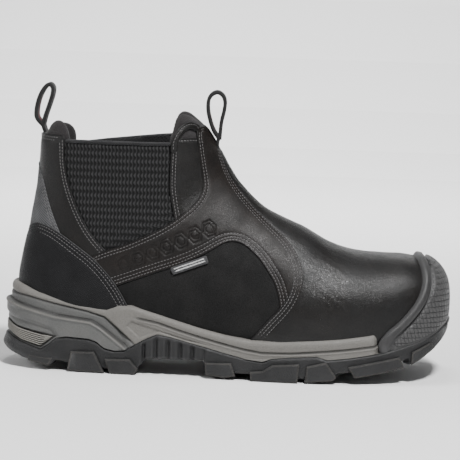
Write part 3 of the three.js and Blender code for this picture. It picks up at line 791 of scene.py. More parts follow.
FINISHES = {
    leather: {  # base, pulled-up colour, roughness, grain size, bump, creases, specular level
        "oiled_leather": ((0.003, 0.0027, 0.0027), (0.009, 0.0074, 0.0064), 0.3, 0.95, 0.085,
                          0.7, 0.33),
        "smooth_leather": ((0.0065, 0.0053, 0.0049), (0.017, 0.0132, 0.0115), 0.36, 0.8, 0.06),
        "nubuck": ((0.005, 0.005, 0.005), (0.0095, 0.009, 0.0088), 0.66, 0.7, 0.11),
    },
    stamped_sheet: {  # base, colour of the raised parts as painted highlight, pitch, pattern, roughness
        "guard_sheet": ((0.0025, 0.0025, 0.0028), (0.007, 0.007, 0.0079), 1.7, "squares", 0.48),
        "ribbed_sheet": ((0.02, 0.0205, 0.0215), (0.075, 0.076, 0.079), 1.6, "ribs", 0.5),
    },
    cloth: {  # base, thread colour, pitch, turn, bump, fuzz
        "edge_tape": ((0.006, 0.006, 0.0065), (0.018, 0.018, 0.019), 0.7, 0.4, 0.15, 0.1),
        "collar_knit": ((0.006, 0.0055, 0.0058), (0.02, 0.0178, 0.0185), 0.8, 0.5, 0.2, 0.12),
        "spacer_mesh": ((0.003, 0.003, 0.0033), (0.013, 0.013, 0.014), 1.6, 0.6, 0.4, 0.08),
        "webbing": ((0.005, 0.005, 0.0055), (0.017, 0.0165, 0.0165), 0.8, 0.0, 0.2, 0.1),
        "red_webbing": ((0.06, 0.003, 0.006), (0.13, 0.01, 0.016), 0.8, 0.0, 0.2, 0.1),
        "woven_label": ((0.022, 0.022, 0.023), (0.05, 0.05, 0.052), 0.45, 0.35, 0.1, 0.05),
        "label_stripe": ((0.28, 0.28, 0.28), (0.45, 0.45, 0.45), 0.45, 0.35, 0.1, 0.05),
        "thread": ((0.055, 0.052, 0.053), (0.12, 0.116, 0.117), 0.5, 0.3, 0.1, 0.1),
    },
    moulded: {  # base, colour of random blotches and of the painted edge highlight, roughness, grain, bump
        "outsole_rubber": ((0.01, 0.01, 0.0105), (0.025, 0.025, 0.0257), 0.5, 1.1, 0.14),
        # lighter rubber for the lugs' sloped frames: painted highlight in place of light on the
        # chamfers
        "scuffed_rubber": ((0.016, 0.0155, 0.015), (0.04, 0.037, 0.034), 0.6, 0.9, 0.35),
        "toe_rubber": ((0.021, 0.021, 0.0215), (0.038, 0.0375, 0.038), 0.46, 1.3, 0.07),
        "midsole_ribs": ((0.125, 0.12, 0.109), (0.18, 0.173, 0.157), 0.55, 1.0, 0.06),
        "fibreboard": ((0.3, 0.26, 0.2), (0.36, 0.32, 0.26), 0.85, 0.7, 0.1),
        "open_foam": ((0.05, 0.05, 0.055), (0.08, 0.08, 0.085), 0.95, 1.6, 0.3),
    },
    two_tone_foam: {  # body, upper bands and a painted highlight stripe, dust, stain, painted shade in the grooves
        "midsole_foam": ((0.084, 0.085, 0.0835), (0.134, 0.128, 0.118), (0.16, 0.155, 0.145),
                         (0.06, 0.058, 0.054), (0.012, 0.0115, 0.011)),
    },
    # the gap colour is painted shade and the rib colour a painted highlight
    ribbed_elastic: {"elastic_rib": ((0.0016, 0.0016, 0.0018), (0.034, 0.034, 0.035))},
    brushed_metal: {"pressed_steel": ((0.55, 0.56, 0.58),)},
}
LOOKS = {
    name: make(name, *values) for make, rows in FINISHES.items() for name, values in rows.items()
}

# ---------------------------------------------------------------- panels
LOW = 6.0  # below every panel's hidden lower edge
DOUBLE = (1.7, 3.8)
TRIPLE = (1.7, 3.7, 6.2)
COLLAR_HEIGHT = 161.0
UNDER, LAYER, OVER = 0.1, 0.9, 1.3  # heights of the leather layers above the skin

VAMP_EDGE = smooth([
    (-12.3, 158), (-12.2, 151.5), (-9.8, 143), (-4.6, 132), (2.6, 121.5), (12.6, 110.7),
    (22.8, 101), (31.4, 93.4), (37.4, 86.4), (41.6, 78), (43.2, 70), (41.4, 61), (36.9, 52.2),
    (28.8, 43), (20.7, 33.5), (15.4, 27), (10, 19),
])
HEEL_EDGE = smooth([
    (-142.5, 92), (-138.3, 96.8), (-132.8, 100), (-123.6, 98), (-113, 92.2), (-102.2, 84.8),
    (-93.6, 78.6), (-85.6, 71), (-78.3, 62.3), (-72.4, 53.6), (-66, 42), (-60, 28),
])
REAR_EDGE = smooth([
    (-133.5, 139.5), (-129.6, 128.6), (-125.7, 116.1), (-121.8, 105.7), (-116, 93),
])
SADDLE_TOP = smooth([
    (-100, 77.5), (-84, 84.3), (-74.2, 87.5), (-63.9, 92.1), (-50.1, 98.8), (-39.1, 105.5),
    (-33, 110.6), (-25.5, 117.2), (-20.9, 125), (-20.4, 132), (-22.2, 142.5), (-24, 153),
    (-25.3, 162), (-26, 168),
])
SADDLE_BOTTOM = smooth([
    (34.5, 40), (34.9, 51), (31.6, 64.2), (26.4, 73.1), (19.1, 82.7), (10.4, 90), (3.3, 92.6),
    (-3.6, 91.7), (-11.2, 87.4), (-21.5, 81.5), (-35.3, 75.4), (-49.1, 70.6), (-63, 65.2),
    (-82, 58),
])
GORE_REAR = smooth([
    (-115.2, COLLAR_HEIGHT), (-115.4, 146), (-112.9, 132.2), (-108.2, 118.4), (-100.7, 103.2),
    (-91.9, 90.9), (-80, 79),
])
GORE_FRONT = smooth([(-42.3, 162), (-42.6, 145.1), (-42.8, 131.1), (-41.7, 120.6), (-38, 103)])


EMBOSS_ENDS = ((-72, 75.5), (-15, 100.5))
EMBOSS_COUNT, EMBOSS_RADIUS, EMBOSS_RISE, EMBOSS_TRENCH = 7, 4.3, 1.0, 0.65


def emboss_depth(co):
    """A row of pressed hexagon outlines along the strap of the saddle."""
    (x0, z0), (x1, z1) = EMBOSS_ENDS
    length = math.hypot(x1 - x0, z1 - z0)
    ux, uz = (x1 - x0) / length, (z1 - z0) / length
    u = (co.x - x0) * ux + (co.z - z0) * uz
    v = (co.z - z0) * ux - (co.x - x0) * uz
    pitch = length / (EMBOSS_COUNT - 1)
    number = min(max(round(u / pitch), 0), EMBOSS_COUNT - 1)
    a, b = abs(u - number * pitch) * 1.12, abs(v) * 0.92
    size = max(b, 0.866 * a + 0.5 * b)
    wall = math.exp(-((size - EMBOSS_RADIUS + 0.6) / 0.5) ** 4)
    trench = math.exp(-((size - EMBOSS_RADIUS + 0.6) / 1.5) ** 4)
    bar = math.exp(-(b / 0.5) ** 4) if a < 2.0 and number % 2 else 0
    return EMBOSS_RISE * max(wall, bar) - EMBOSS_TRENCH * trench


def near_emboss(co):
    (x0, z0), (x1, z1) = EMBOSS_ENDS
    share = (co.x - x0) / (x1 - x0)
    return -0.12 < share < 1.12 and abs(co.z - z0 - share * (z1 - z0)) < 7.2


def make_panels():
    vamp = Outline((VAMP_EDGE, TRIPLE), ([(8, LOW), (170, LOW), (170, 158)], ()))
    leather_panel("vamp_leather", vamp, "oiled_leather", ["vamp"], OVER)
    heel = Outline(([(-170, 92)], ()), (HEEL_EDGE, TRIPLE), ([(-58, LOW), (-170, LOW)], ()))
    leather_panel("heel_guard_sheet", heel, "guard_sheet", ["heel_guard"], 1.6,
                  rings=(9, LAST_RING))
    rear = Outline(
        ([(-170, 140.5), (-134, 140.5)], ()), (REAR_EDGE, DOUBLE), ([(-116, 80), (-170, 80)], ()),
    )
    leather_panel("rear_guard_sheet", rear, "ribbed_sheet", ["rear_guard"], LAYER,
                  rings=(12, LAST_RING), step=1.6)
    saddle = Outline(
        (SADDLE_TOP, DOUBLE), ([(-21.5, 169.5), (-16, 165), (-9, 158), (60, 122), (60, 40)], ()),
        (SADDLE_BOTTOM, TRIPLE),
        ([(-100, 56)], ()),
    )
    arch = Outline(
        (smooth([(-43, 152), (-42.8, 158), (-40.8, 164), (-36.2, 170.4), (-30, 172.6),
                 (-24, 170)]), (1.5,)),
        (smooth([(-24, 165), (-27.5, 167), (-31, 167.8), (-35, 164.8), (-37.6, 159.5),
                 (-38.4, 152)]), ()),
    )
    side = Outline(([
        (-95, LOW), (-95, 56), (-60, 72), (-30, 84), (0, 98), (25, 92), (46, 70), (48, LOW),
    ], ()))
    facing = Outline(
        (GORE_FRONT[::-1], DOUBLE), ([(-42.3, 162), (-15, 162)], (1.7,)), ([(-15, 104)], ()),
    )
    shaft = Outline(
        ([(-170, COLLAR_HEIGHT), (-115.2, COLLAR_HEIGHT)], (1.6, 3.6)), (GORE_REAR, DOUBLE),
        ([(-84, 70), (-170, 70)], ()),
    )
    for name, shares in SIDE_NAMES.items():
        leather_panel(f"saddle_leather_{name}", saddle, "smooth_leather",
                      [f"saddle_{name}"], LAYER, shares, relief=emboss_depth, finer=near_emboss)
        leather_panel(f"side_panel_nubuck_{name}", side, "nubuck",
                      [f"side_panel_{name}"], -0.3, shares)
        leather_panel(f"gore_facing_leather_{name}", facing, "oiled_leather",
                      [f"gore_facing_{name}"], UNDER, shares, rings=(9, LAST_RING))
        leather_panel(f"collar_arch_leather_{name}", arch, "oiled_leather", (),
                      LAYER, shares, rings=(14, LAST_RING), step=1.4)
        leather_panel(f"rear_shaft_leather_{name}", shaft, "oiled_leather",
                      [f"rear_shaft_{name}"], UNDER, shares, rings=(9, LAST_RING))


# ---------------------------------------------------------------- gores, collars, lining
GORE_TOPS = {"lateral": (157.6, 157.6), "medial": (151.5, 161)}
GORE_SPAN = (-115.2, -42.3)
GORE_SHARES = {"lateral": (0.1, 0.42), "medial": (0.58, 0.9)}
RIB_PITCH, RIB_WAVE, RIB_SWING = 2.45, 4.8, 0.42
GORE_STEP, GORE_DEPTH, RIB_RISE = 0.62, -1.9, 0.95
LINING_STEP, LINING_DEPTH = 3.0, -5.9


def rib_height(co):
    """Upright ribs of covered rubber that wave from side to side and swell at each turn."""
    wave = math.sin(FULL_TURN * co.z / RIB_WAVE)
    place = (co.x + RIB_SWING * wave) / RIB_PITCH
    gap = abs(place - round(place)) * RIB_PITCH
    return math.exp(-((gap / (0.62 + 0.12 * wave)) ** 2)) * (0.78 + 0.22 * wave)


TAG = [(-40.8, 73.8), (-15.9, 83), (-14.2, 78), (-38, 69.2)]


def make_tag():
    """The sewn-on label: a folded strip with two plain woven stripes."""
    tag = Outline((TAG, ()))
    leather_panel("side_label", tag, "woven_label", ["side_tag"], 1.9, (0.15, 0.4),
                  rings=(10, 19), thickness=1.1, step=1.0)
    for number, (low, high) in enumerate(((0.24, 0.42), (0.56, 0.74))):
        corners = [np.array(p) for p in TAG]
        left = [corners[0] + (corners[3] - corners[0]) * share for share in (low, high)]
        right = [corners[1] + (corners[2] - corners[1]) * share for share in (low, high)]
        ends = [left[0] + (right[0] - left[0]) * 0.07, left[0] + (right[0] - left[0]) * 0.93,
                left[1] + (right[1] - left[1]) * 0.93, left[1] + (right[1] - left[1]) * 0.07]
        stripe = Outline(([tuple(p) for p in ends], ()))
        leather_panel(f"side_label_stripe_{number}", stripe, "label_stripe", (), 2.75,
                      (0.15, 0.4), rings=(10, 19), thickness=0.6, step=1.0)


def make_gores():
    for name, shares in GORE_SHARES.items():
        rear, front = GORE_TOPS[name]
        gore = Outline(([(-119, rear), (-38, front), (-34, 100), (-80, 76), (-119, 100)], ()))
        bm, _, _ = cut_panel(gore, shares, (12, LAST_RING), GORE_STEP)
        rib = bm.verts.layers.float.new("rib")
        for vert in bm.verts:
            vert[rib] = rib_height(vert.co)
        raise_verts(bm, [GORE_DEPTH + RIB_RISE * vert[rib] for vert in bm.verts])
        bmesh.ops.solidify(bm, geom=bm.faces[:], thickness=0.9)
        finish_piece(f"gore_elastic_{name}", bm, "elastic_rib", [f"gore_{name}"])
        tape = Outline(([(GORE_SPAN[0] - 3, rear - 1.4), (GORE_SPAN[0] - 3, rear + 1.2),
                         (GORE_SPAN[1] + 3, front + 1.2), (GORE_SPAN[1] + 3, front - 1.4)], ()))
        padded_panel(f"gore_edge_tape_{name}", tape, "edge_tape",
                     [f"gore_binding_{name}"], -0.2, -6.0, SIDE_NAMES[name], rings=(14, LAST_RING),
                     step=1.4, roll=1.3)


def make_collars():
    front = Outline((smooth([
        (-43, 155), (-42.2, 160), (-40.4, 166), (-38.6, 171.5), (-36.7, 176.5), (-33.5, 179),
        (-29, 178), (-22, 173), (-14, 168),
    ]), ()), ([(-6, 150), (-20, 140), (-43, 150)], ()))
    rear = Outline((smooth([
        (-145, 161.8), (-133, 162), (-130, 163.8), (-127.4, 168.4), (-123.8, 170.8),
        (-119.8, 169.8), (-116.2, 165.4), (-114, 159), (-113.6, 154),
    ]), ()), ([(-118, 150), (-145, 150)], ()))
    collars = [
        padded_panel(f"{end}_collar_pad", outline, "collar_knit",
                     [f"{end}_collar", f"{end}_collar_foam"], outer, -7.2,
                     rings=(13, LAST_RING), step=1.8)
        for end, outline, outer in (("front", front, -0.8), ("rear", rear, -0.9))
    ]
    for vert in collars[1].data.vertices:
        rise = max(vert.co.z - 0.161, 0)
        vert.co.z -= 0.4 * rise * float(ramp(np.float64(vert.co.y), 0, 0.02))


def make_lining():
    whole = bmesh.new()
    for name, shares in SIDE_NAMES.items():
        rear, front = GORE_TOPS[name]
        top = [(-170, 158), (GORE_SPAN[0], 158), (GORE_SPAN[0], rear), (GORE_SPAN[1], front),
               (GORE_SPAN[1], 158), (20, 158), (20, 174), (170, 174), (170, -20), (-170, -20)]
        bm, _, _ = cut_panel(Outline((top, ())), shares, (1, LAST_RING), LINING_STEP)
        raise_verts(bm, [LINING_DEPTH] * len(bm.verts))
        append_mesh(whole, bm)
    bmesh.ops.remove_doubles(whole, verts=whole.verts, dist=0.2)
    bmesh.ops.solidify(whole, geom=whole.faces[:], thickness=-1.6)
    finish_piece("lining", whole, "spacer_mesh", ["vamp_lining", "shaft_lining"])


# ---------------------------------------------------------------- sole
SOLE_EDGES = [
    (-150.5, -17, 16), (-143, -27.5, 26.5), (-128, -35, 34), (-105, -39.5, 38.5), (-70, -43, 39),
    (-35, -46.5, 38.5), (0, -50.5, 41), (35, -54.5, 47), (65, -56, 52), (90, -54, 53.5),
    (112, -49, 52.5), (130, -41, 49.5), (143, -30, 42.5), (151, -13.5, 30),
]
HEEL_POINT, TOE_POINT = (-154, -0.5), (154.5, 9)
HALF_STEPS = 400

MIDSOLE_TOP = [
    (-157, 58.5), (-148, 57), (-143, 56), (-132.6, 53.3), (-118.5, 50.7), (-104.4, 47.6),
    (-90.3, 45.3), (-83.3, 44.3), (-79.1, 45.7), (-75, 47.2), (-65.9, 47.2), (-55.2, 44),
    (-37.6, 39), (-19.9, 34), (-2.2, 30.1), (15.4, 27.5), (36.4, 27.5), (57.3, 28.9), (78.3, 30.7),
    (95.7, 33), (104.8, 34.7), (157, 50),
]
RIM = [
    (-157, 22), (-150, 20.5), (-142, 17.5), (-127.8, 14), (-123, 17.4), (-117.5, 22),
    (-110.6, 23.6), (-94.5, 22.8), (-89.5, 21.2), (-83.7, 16.8), (-76.7, 15.3), (-69.7, 16.2),
    (-63.5, 20), (-54.6, 25.2), (-47.7, 28.2), (-37.1, 26.4), (-19.5, 22.1), (-1.8, 17.8),
    (12.3, 14.5), (24.2, 13.1), (30.5, 15.4), (43.7, 16.9), (61.2, 18.2), (68.3, 16), (82.2, 17.5),
    (96.2, 19.7), (106.6, 21.5), (120.5, 25.5), (134.3, 30.1), (144.7, 34.7), (153.6, 40.6),
    (157, 43),
]
# Underside of the outsole's side wall; the tread lugs reach below it.
WALL_BOTTOM = [
    (-157, 14.5), (-150, 10.5), (-140, 6.9), (-128, 4.6), (-120.5, 3.6), (-118, 7), (-110, 6.4),
    (-105, 2.8), (-64, 2.8), (-58, 7.5), (-55, 11), (-16, 12), (-13, 5), (6, 4.4), (16, 4.2),
    (20, 2.6), (52, 2.6), (72, 4), (76, 7.4), (83, 8), (107, 13), (121, 16), (124, 17.5),
    (125.5, 12.8), (133, 17), (142, 22.5), (148, 27.5), (157, 37),
]
TREAD = [
    (-157, 14), (-150, 10.5), (-140, 6.8), (-128, 4.6), (-110, 2.2), (-92, 0), (52, 0), (75, 2.5),
    (90, 5), (107, 8.2), (121, 11.8), (133, 17), (142, 22.5), (148, 27.5), (157, 38),
]
LIP_GROOVE = [
    (-157, 51.5), (-150, 50.7), (-139.5, 49.6), (-118.3, 45.4), (-97.2, 41.6), (-84.5, 38.2),
    (-75.8, 31.4), (-63.6, 20.7), (-58, 15),
]
HEEL_RIDGE = [
    (-157, 46.5), (-154.8, 45.6), (-146.3, 43.8), (-132.2, 40.8), (-118.1, 37.7), (-93.5, 35.1),
    (-86.3, 31.1), (-72, 20.4), (-66, 15),
]
HEEL_CREASE = [
    (-157, 36), (-151.6, 35.2), (-138.9, 32.8), (-128.3, 30.4), (-121.3, 28.5), (-114, 22),
]
FOREFOOT_RIDGE = [
    (-68, 40), (-64.2, 38.8), (-48, 35.9), (-33.8, 31.5), (-19.7, 27.7), (-2, 23.4), (12.1, 20.4),
    (24, 18.8), (43.6, 19.4), (64.6, 21.3), (82, 23.1), (99.5, 25.4), (110, 27.5),
]
RIB_WINDOW = [
    (-158, 31.5), (-150.8, 31), (-145.8, 28.4), (-117.6, 23.7), (-127.8, 15.3), (-141.9, 18.5),
    (-158, 23),
]
# The first and the last bar in that window.
TOP_BAR = [(-158, 31), (-150.8, 30.3), (-145.8, 27.9), (-117.6, 23)]
LOW_BAR = [(-158, 23.4), (-149.8, 22.9), (-141.9, 18.9), (-127.8, 15.6), (-117.6, 23)]
ARCH_PANEL = [
    (-66, 37), (-58, 34.5), (-36, 28.7), (-12, 22.5), (-30, 25), (-46, 30), (-54, 27.5), (-60, 25),
    (-69, 33),
]


def along(pairs, x):
    """The height at x of a line through pairs."""
    return np.interp(x, [p[0] for p in pairs], [p[1] for p in pairs])


def line_distance(pairs, x, z):
    """Distance of points from a line through pairs, positive above it."""
    points = np.array(pairs, float)
    a, b = points[:-1], points[1:]
    run = b - a
    offset = np.stack([x, z], axis=-1)[..., None, :] - a
    share = np.clip((offset * run).sum(axis=-1) / (run ** 2).sum(axis=-1), 0, 1)
    gap = np.linalg.norm(offset - share[..., None] * run, axis=-1).min(axis=-1)
    return np.where(z > along(pairs, x), 1, -1) * gap


def bell(value, centre, width):
    return np.exp(-((value - centre) / width) ** 2)


def ramp(value, low, high):
    """A soft step from 0 at low to 1 at high."""
    share = np.clip((value - low) / (high - low), 0, 1)
    return share * share * (3 - 2 * share)


def sole_halfway():
    """Points of the sole outline: out along the outer edge to the toe, back along the inner."""
    outer = [HEEL_POINT] + [(x, y) for x, y, _ in SOLE_EDGES] + [TOE_POINT]
    inner = [(x, y) for x, _, y in reversed(SOLE_EDGES)]
    ring = np.array(outer + inner, float)
    count = len(ring)

    def at(u):
        i = np.floor(u).astype(int)
        a, b, c, d = (ring[(i + k) % count] for k in (-1, 0, 1, 2))
        f = (u - i)[:, None]
        return curve_point(a, b, c, d, f)

    tries = np.linspace(0, count / 2, 2000)
    steps = sum(np.linalg.norm(np.diff(at(u), axis=0), axis=1) for u in (tries, count - tries))
    lengths = np.concatenate([[0], np.cumsum(steps)])
    crowding = 1 + 1.4 * (np.abs(at(tries)[1:, 0] + 69) < 17)
    weighted = np.concatenate([[0], np.cumsum(np.diff(lengths) * crowding)])
    even = np.interp(np.linspace(0, weighted[-1], HALF_STEPS + 1), weighted, tries)
    u = np.concatenate([even, (count - even[1:-1])[::-1]])
    points = at(u)
    ahead = at(u + 0.01) - at(u - 0.01)
    ahead /= np.linalg.norm(ahead, axis=1)[:, None]
    return points, np.stack([ahead[:, 1], -ahead[:, 0]], axis=1)


SOLE_POINTS, SOLE_OUT = sole_halfway()


def sole_ring(outwards, heights):
    """A ring round the sole. Both arguments are numbers or one value per point."""
    xy = SOLE_POINTS + SOLE_OUT * np.broadcast_to(outwards, len(SOLE_POINTS))[:, None]
    return np.column_stack([xy, np.broadcast_to(heights, len(xy))])


def close_ring(rows):
    return np.stack([np.vstack([row, row[:1]]) for row in rows])


def sole_cap(ring, columns=10):
    """A grid straight across the sole between the two halves of a ring."""
    outer = ring[:HALF_STEPS + 1]
    inner = np.vstack([ring[0], ring[:HALF_STEPS:-1], ring[HALF_STEPS]])
    return np.stack([outer + (inner - outer) * s for s in np.linspace(0, 1, columns)], axis=1)


def join_grids(*grids):
    whole = bmesh.new()
    for points in grids:
        append_mesh(whole, grid_mesh(points))
    bmesh.ops.remove_doubles(whole, verts=whole.verts, dist=0.01)
    bmesh.ops.recalc_face_normals(whole, faces=whole.faces)
    return whole


def midsole_relief(x, z):
    """The midsole's side: distance beyond the sole outline, grooves for painted shade, pale upper
    bands and a painted highlight stripe.
    """
    lip, ridge = line_distance(LIP_GROOVE, x, z), line_distance(HEEL_RIDGE, x, z)
    crease, forefoot = line_distance(HEEL_CREASE, x, z), line_distance(FOREFOOT_RIDGE, x, z)
    below_top = along(MIDSOLE_TOP, x) - z
    heel, front = ramp(x, -62, -100), ramp(x, -66, -58)
    above_ridge = ramp(ridge, -0.2, 0.7) * ramp(x, -64, -72)
    above_lip = ramp(lip, -0.3, 0.5)
    above_front = ramp(forefoot, -0.4, 0.5) * front
    out = 1.1 - 3.2 * above_ridge
    out += 0.7 * bell(ridge, -1.3, 0.9) * ramp(x, -64, -72)
    out = out * (1 - above_lip) + above_lip * (0.2 - 2.6 * heel)
    out -= 1.5 * above_front
    out += 0.5 * bell(forefoot, -1.1, 0.8) * front
    lip_line = bell(lip, 0, 0.65) * ramp(x, -60, -66)
    front_line = bell(forefoot, 0.2, 0.6) * ramp(x, -66, -60)
    ridge_line = bell(ridge, 0.6, 0.65) * ramp(x, -66, -72)
    out -= 1.3 * lip_line + 0.7 * front_line + 0.4 * ridge_line
    out -= 0.9 * bell(crease, 0, 1.2) * ramp(x, -112, -119)
    out -= 1.3 * ramp(crease, 0.4, -1.2) * ramp(x, -108, -120)
    arch = inside_distance(ARCH_PANEL, x, z)
    out -= 0.9 * ramp(arch, -0.4, 0.8)
    window = inside_distance(RIB_WINDOW, x, z)
    out -= 1.1 * ramp(window, -0.3, 0.3)
    frame_line = bell(window, 0.1, 0.45)
    drop = np.clip(1 - below_top / 4.2, 0, 1)
    out = out - 3.6 * (1 - np.sqrt(1 - drop ** 2)) - 5 * ramp(x, 99, 106)
    # where the painted shade goes: the groove lines and the whole sunken heel window
    groove = np.maximum.reduce([
        lip_line, 0.9 * front_line, 0.9 * ridge_line, frame_line, ramp(window, 0, 0.5),
    ])
    pale = np.maximum(above_lip, above_front)
    pale = np.maximum(pale, front * ramp(x, -20, 20) * 0.85)
    # painted highlight: a pale stripe along the upper side of the bead under the heel ridge
    pale = np.maximum(pale, 0.8 * bell(ridge, -0.7, 0.6) * ramp(x, -66, -72))
    return out, groove, pale


def make_midsole():
    x = SOLE_POINTS[:, 0]
    bottom, top = along(RIM, x), along(MIDSOLE_TOP, x)
    rows = [sole_ring(-7, bottom + 0.2), sole_ring(-0.6, bottom + 0.2)]
    looks = [np.zeros((len(x), 2))] * 2
    for share in np.linspace(0.012, 1, 62):
        z = bottom + 0.2 + (top - bottom - 0.2) * share
        out, groove, pale = midsole_relief(x, z)
        rows.append(sole_ring(out, z))
        looks.append(np.stack([groove, pale], axis=1))
    rows += [sole_ring(-6.8, top - 0.1), sole_ring(-9.5, top - 1.2), sole_ring(-10, bottom + 3)]
    looks += [np.tile((0.0, 1.0), (len(x), 1))] * 3
    bm = grid_mesh(close_ring(rows + rows[:1]))
    groove, pale = bm.verts.layers.float.new("groove"), bm.verts.layers.float.new("pale")
    for vert, look in zip(bm.verts, close_ring(looks + looks[:1]).reshape(-1, 2)):
        vert[groove], vert[pale] = look
    bmesh.ops.remove_doubles(bm, verts=bm.verts, dist=0.01)
    bmesh.ops.recalc_face_normals(bm, faces=bm.faces)
    finish_piece("midsole_foam", bm, "midsole_foam", ["midsole"])
    make_heel_ribs()


def make_heel_ribs():
    """Pale moulded bars that run round the back of the heel, inside the window."""
    whole = bmesh.new()
    order = np.r_[HALF_STEPS + 1:len(SOLE_POINTS), 0:HALF_STEPS]
    for level in np.linspace(0.13, 0.87, 6):
        x = SOLE_POINTS[order, 0]
        z = along(TOP_BAR, x) * level + (along(LOW_BAR, x) * (1 - level))
        inside = inside_distance(RIB_WINDOW, x, z) > 0.9
        picked = order[inside]
        if len(picked) < 8:
            continue
        z = z[inside]
        xy, out = SOLE_POINTS[picked], SOLE_OUT[picked]
        taper = np.minimum(1, np.minimum(np.arange(len(picked)), np.arange(len(picked))[::-1]) / 3)
        rows = []
        for angle in np.linspace(0, FULL_TURN, 9)[:-1]:
            beyond = -0.35 + 0.75 * math.cos(angle) * taper
            height = z + 0.46 * math.sin(angle) * taper
            rows.append(np.column_stack([xy + out * beyond[:, None], height]))
        append_mesh(whole, join_grids(np.stack(rows + rows[:1])))
    finish_piece("heel_window_ribs", whole, "midsole_ribs")


FLUTE_PITCH = 8.4


def outsole_relief(x, z, share):
    """How far the outsole's side stands out: heel lip, arch flutes and a rounded lower edge."""
    heel = ramp(x, -112, -124)
    out = 1.0 + heel * 2.0 * bell(z, along([(-157, 15), (-120, 8)], x), 4.5)
    arch = ramp(x, -60, -56) * ramp(x, -13, -17)
    flute = (x + 57) / FLUTE_PITCH
    gap = np.abs(flute - np.round(flute)) * FLUTE_PITCH
    out -= arch * 2.6 * bell(gap, 0, 1.3) * ramp(share, 0.02, 0.25)
    out -= 1.8 * ramp(share, 0.86, 1.0) ** 2
    out -= 0.8 * ramp(share, 0.1, 0.0)
    return out


def make_outsole():
    x = SOLE_POINTS[:, 0]
    top, bottom = along(RIM, x), along(WALL_BOTTOM, x)
    rows = [sole_ring(-8, top - 1.5), sole_ring(-1.6, top)]
    for share in np.linspace(0, 1, 24):
        z = top + (bottom - top) * share
        rows.append(sole_ring(outsole_relief(x, z, share), z))
    rows += [sole_ring(-3, bottom - 0.1), sole_ring(-9, bottom)]
    bm = join_grids(close_ring(rows), sole_cap(rows[0]), sole_cap(rows[-1]))
    add_lugs(bm)
    finish_piece("outsole_rubber", bm, ["outsole_rubber", "scuffed_rubber"],
                 ["outsole"])


# Edge lugs seen from the side.
LUGS = [
    [(-137, 10.6), (-119.4, 9), (-121.8, 3.4), (-136.6, 5.6)],
    [(-106.8, 14.3), (-90.7, 14.8), (-83.2, 0.4), (-109.2, 0.8)],
    [(-83.5, 10.2), (-66, 10.8), (-60.2, 4), (-62.9, 0), (-79.7, 0)],
    [(-14.9, 11.1), (3.3, 11.7), (6.4, 2.7), (-1, 1.2), (-14, 2.5)],
    [(16.1, 6.5), (24.4, 7.5), (31.3, 11.9), (49.5, 13.3), (48.5, 0), (16.7, 0)],
    [(54.4, 12), (67.6, 15.3), (74.9, 5), (72.2, 2.5), (53.4, 0.8)],
    [(82.4, 12.3), (117.9, 19.1), (121.4, 11.8), (107.1, 8.2), (87.3, 4.7)],
    [(126.5, 22), (140, 28), (143.5, 24), (132.7, 16.6), (126, 13.2)],
]
# Where each bar across the tread starts and ends.
BARS = [
    (-146, -134), (-114, -100), (-90, -74), (-10, 4), (20, 34), (46, 60), (74, 88), (100, 114),
    (124, 134),
]
BAR_WIDTH, BAR_HEIGHT, LUG_DEPTH = 26, 7, 26


def add_lugs(bm):
    outer = SOLE_POINTS[:HALF_STEPS + 1]
    inner = np.vstack([SOLE_POINTS[:1], SOLE_POINTS[HALF_STEPS:][::-1]])
    for side, edge in ((-1, outer), (1, inner)):
        for outline in LUGS:
            part = bmesh.new()
            verts = [part.verts.new((px, 0, pz)) for px, pz in outline]
            face = part.faces.new(verts)
            made = bmesh.ops.extrude_face_region(part, geom=[face])["geom"]
            bmesh.ops.translate(part, verts=only_verts(made), vec=(0, LUG_DEPTH, 0))
            bmesh.ops.recalc_face_normals(part, faces=part.faces)
            front = [f for f in part.faces if f.normal.y < -0.9]
            frame = bmesh.ops.inset_region(part, faces=front, thickness=1.2, depth=0.9,
                                           use_even_offset=True)["faces"]
            # the sloped frames get the lighter rubber, a painted highlight on the chamfers
            for face in frame:
                face.material_index = 1
            bmesh.ops.bevel(part, geom=part.edges[:], offset=0.3, offset_type="OFFSET", segments=2,
                            profile=0.5, affect="EDGES", material=-1)
            for cut in np.arange(outline[0][0] + 4, max(p[0] for p in outline) - 2, 5):
                bmesh.ops.bisect_plane(part, geom=part.verts[:] + part.edges[:] + part.faces[:],
                                       plane_co=(cut, 0, 0), plane_no=(1, 0, 0))
            order = np.argsort(edge[:, 0])
            for vert in part.verts:
                rim_y = np.interp(vert.co.x, edge[order, 0], edge[order, 1])
                vert.co.y = rim_y + side * 2.6 - side * vert.co.y
            bmesh.ops.recalc_face_normals(part, faces=part.faces)
            append_mesh(bm, part)
    for low, high in BARS:
        part = bmesh.new()
        bmesh.ops.create_cube(part, size=1)
        bmesh.ops.scale(part, verts=part.verts, vec=(high - low, BAR_WIDTH, BAR_HEIGHT))
        middle = (low + high) / 2
        height = float(along(TREAD, middle)) + 4.2
        bmesh.ops.translate(part, verts=part.verts, vec=(middle, -1, height))
        bmesh.ops.bevel(part, geom=part.edges[:], offset=1.2, offset_type="OFFSET", segments=2,
                        profile=0.5, affect="EDGES", material=-1)
        append_mesh(bm, part)


SEAT = [
    (-157, 32.5), (-136, 35.5), (-118, 31), (-90, 29.3), (-58, 27), (-26, 24), (3, 20.5),
    (30, 17.8), (56, 17), (80, 17.8), (102, 20), (121, 23.8), (135, 29), (157, 50),
]
FOOTBED_COLUMNS = 15


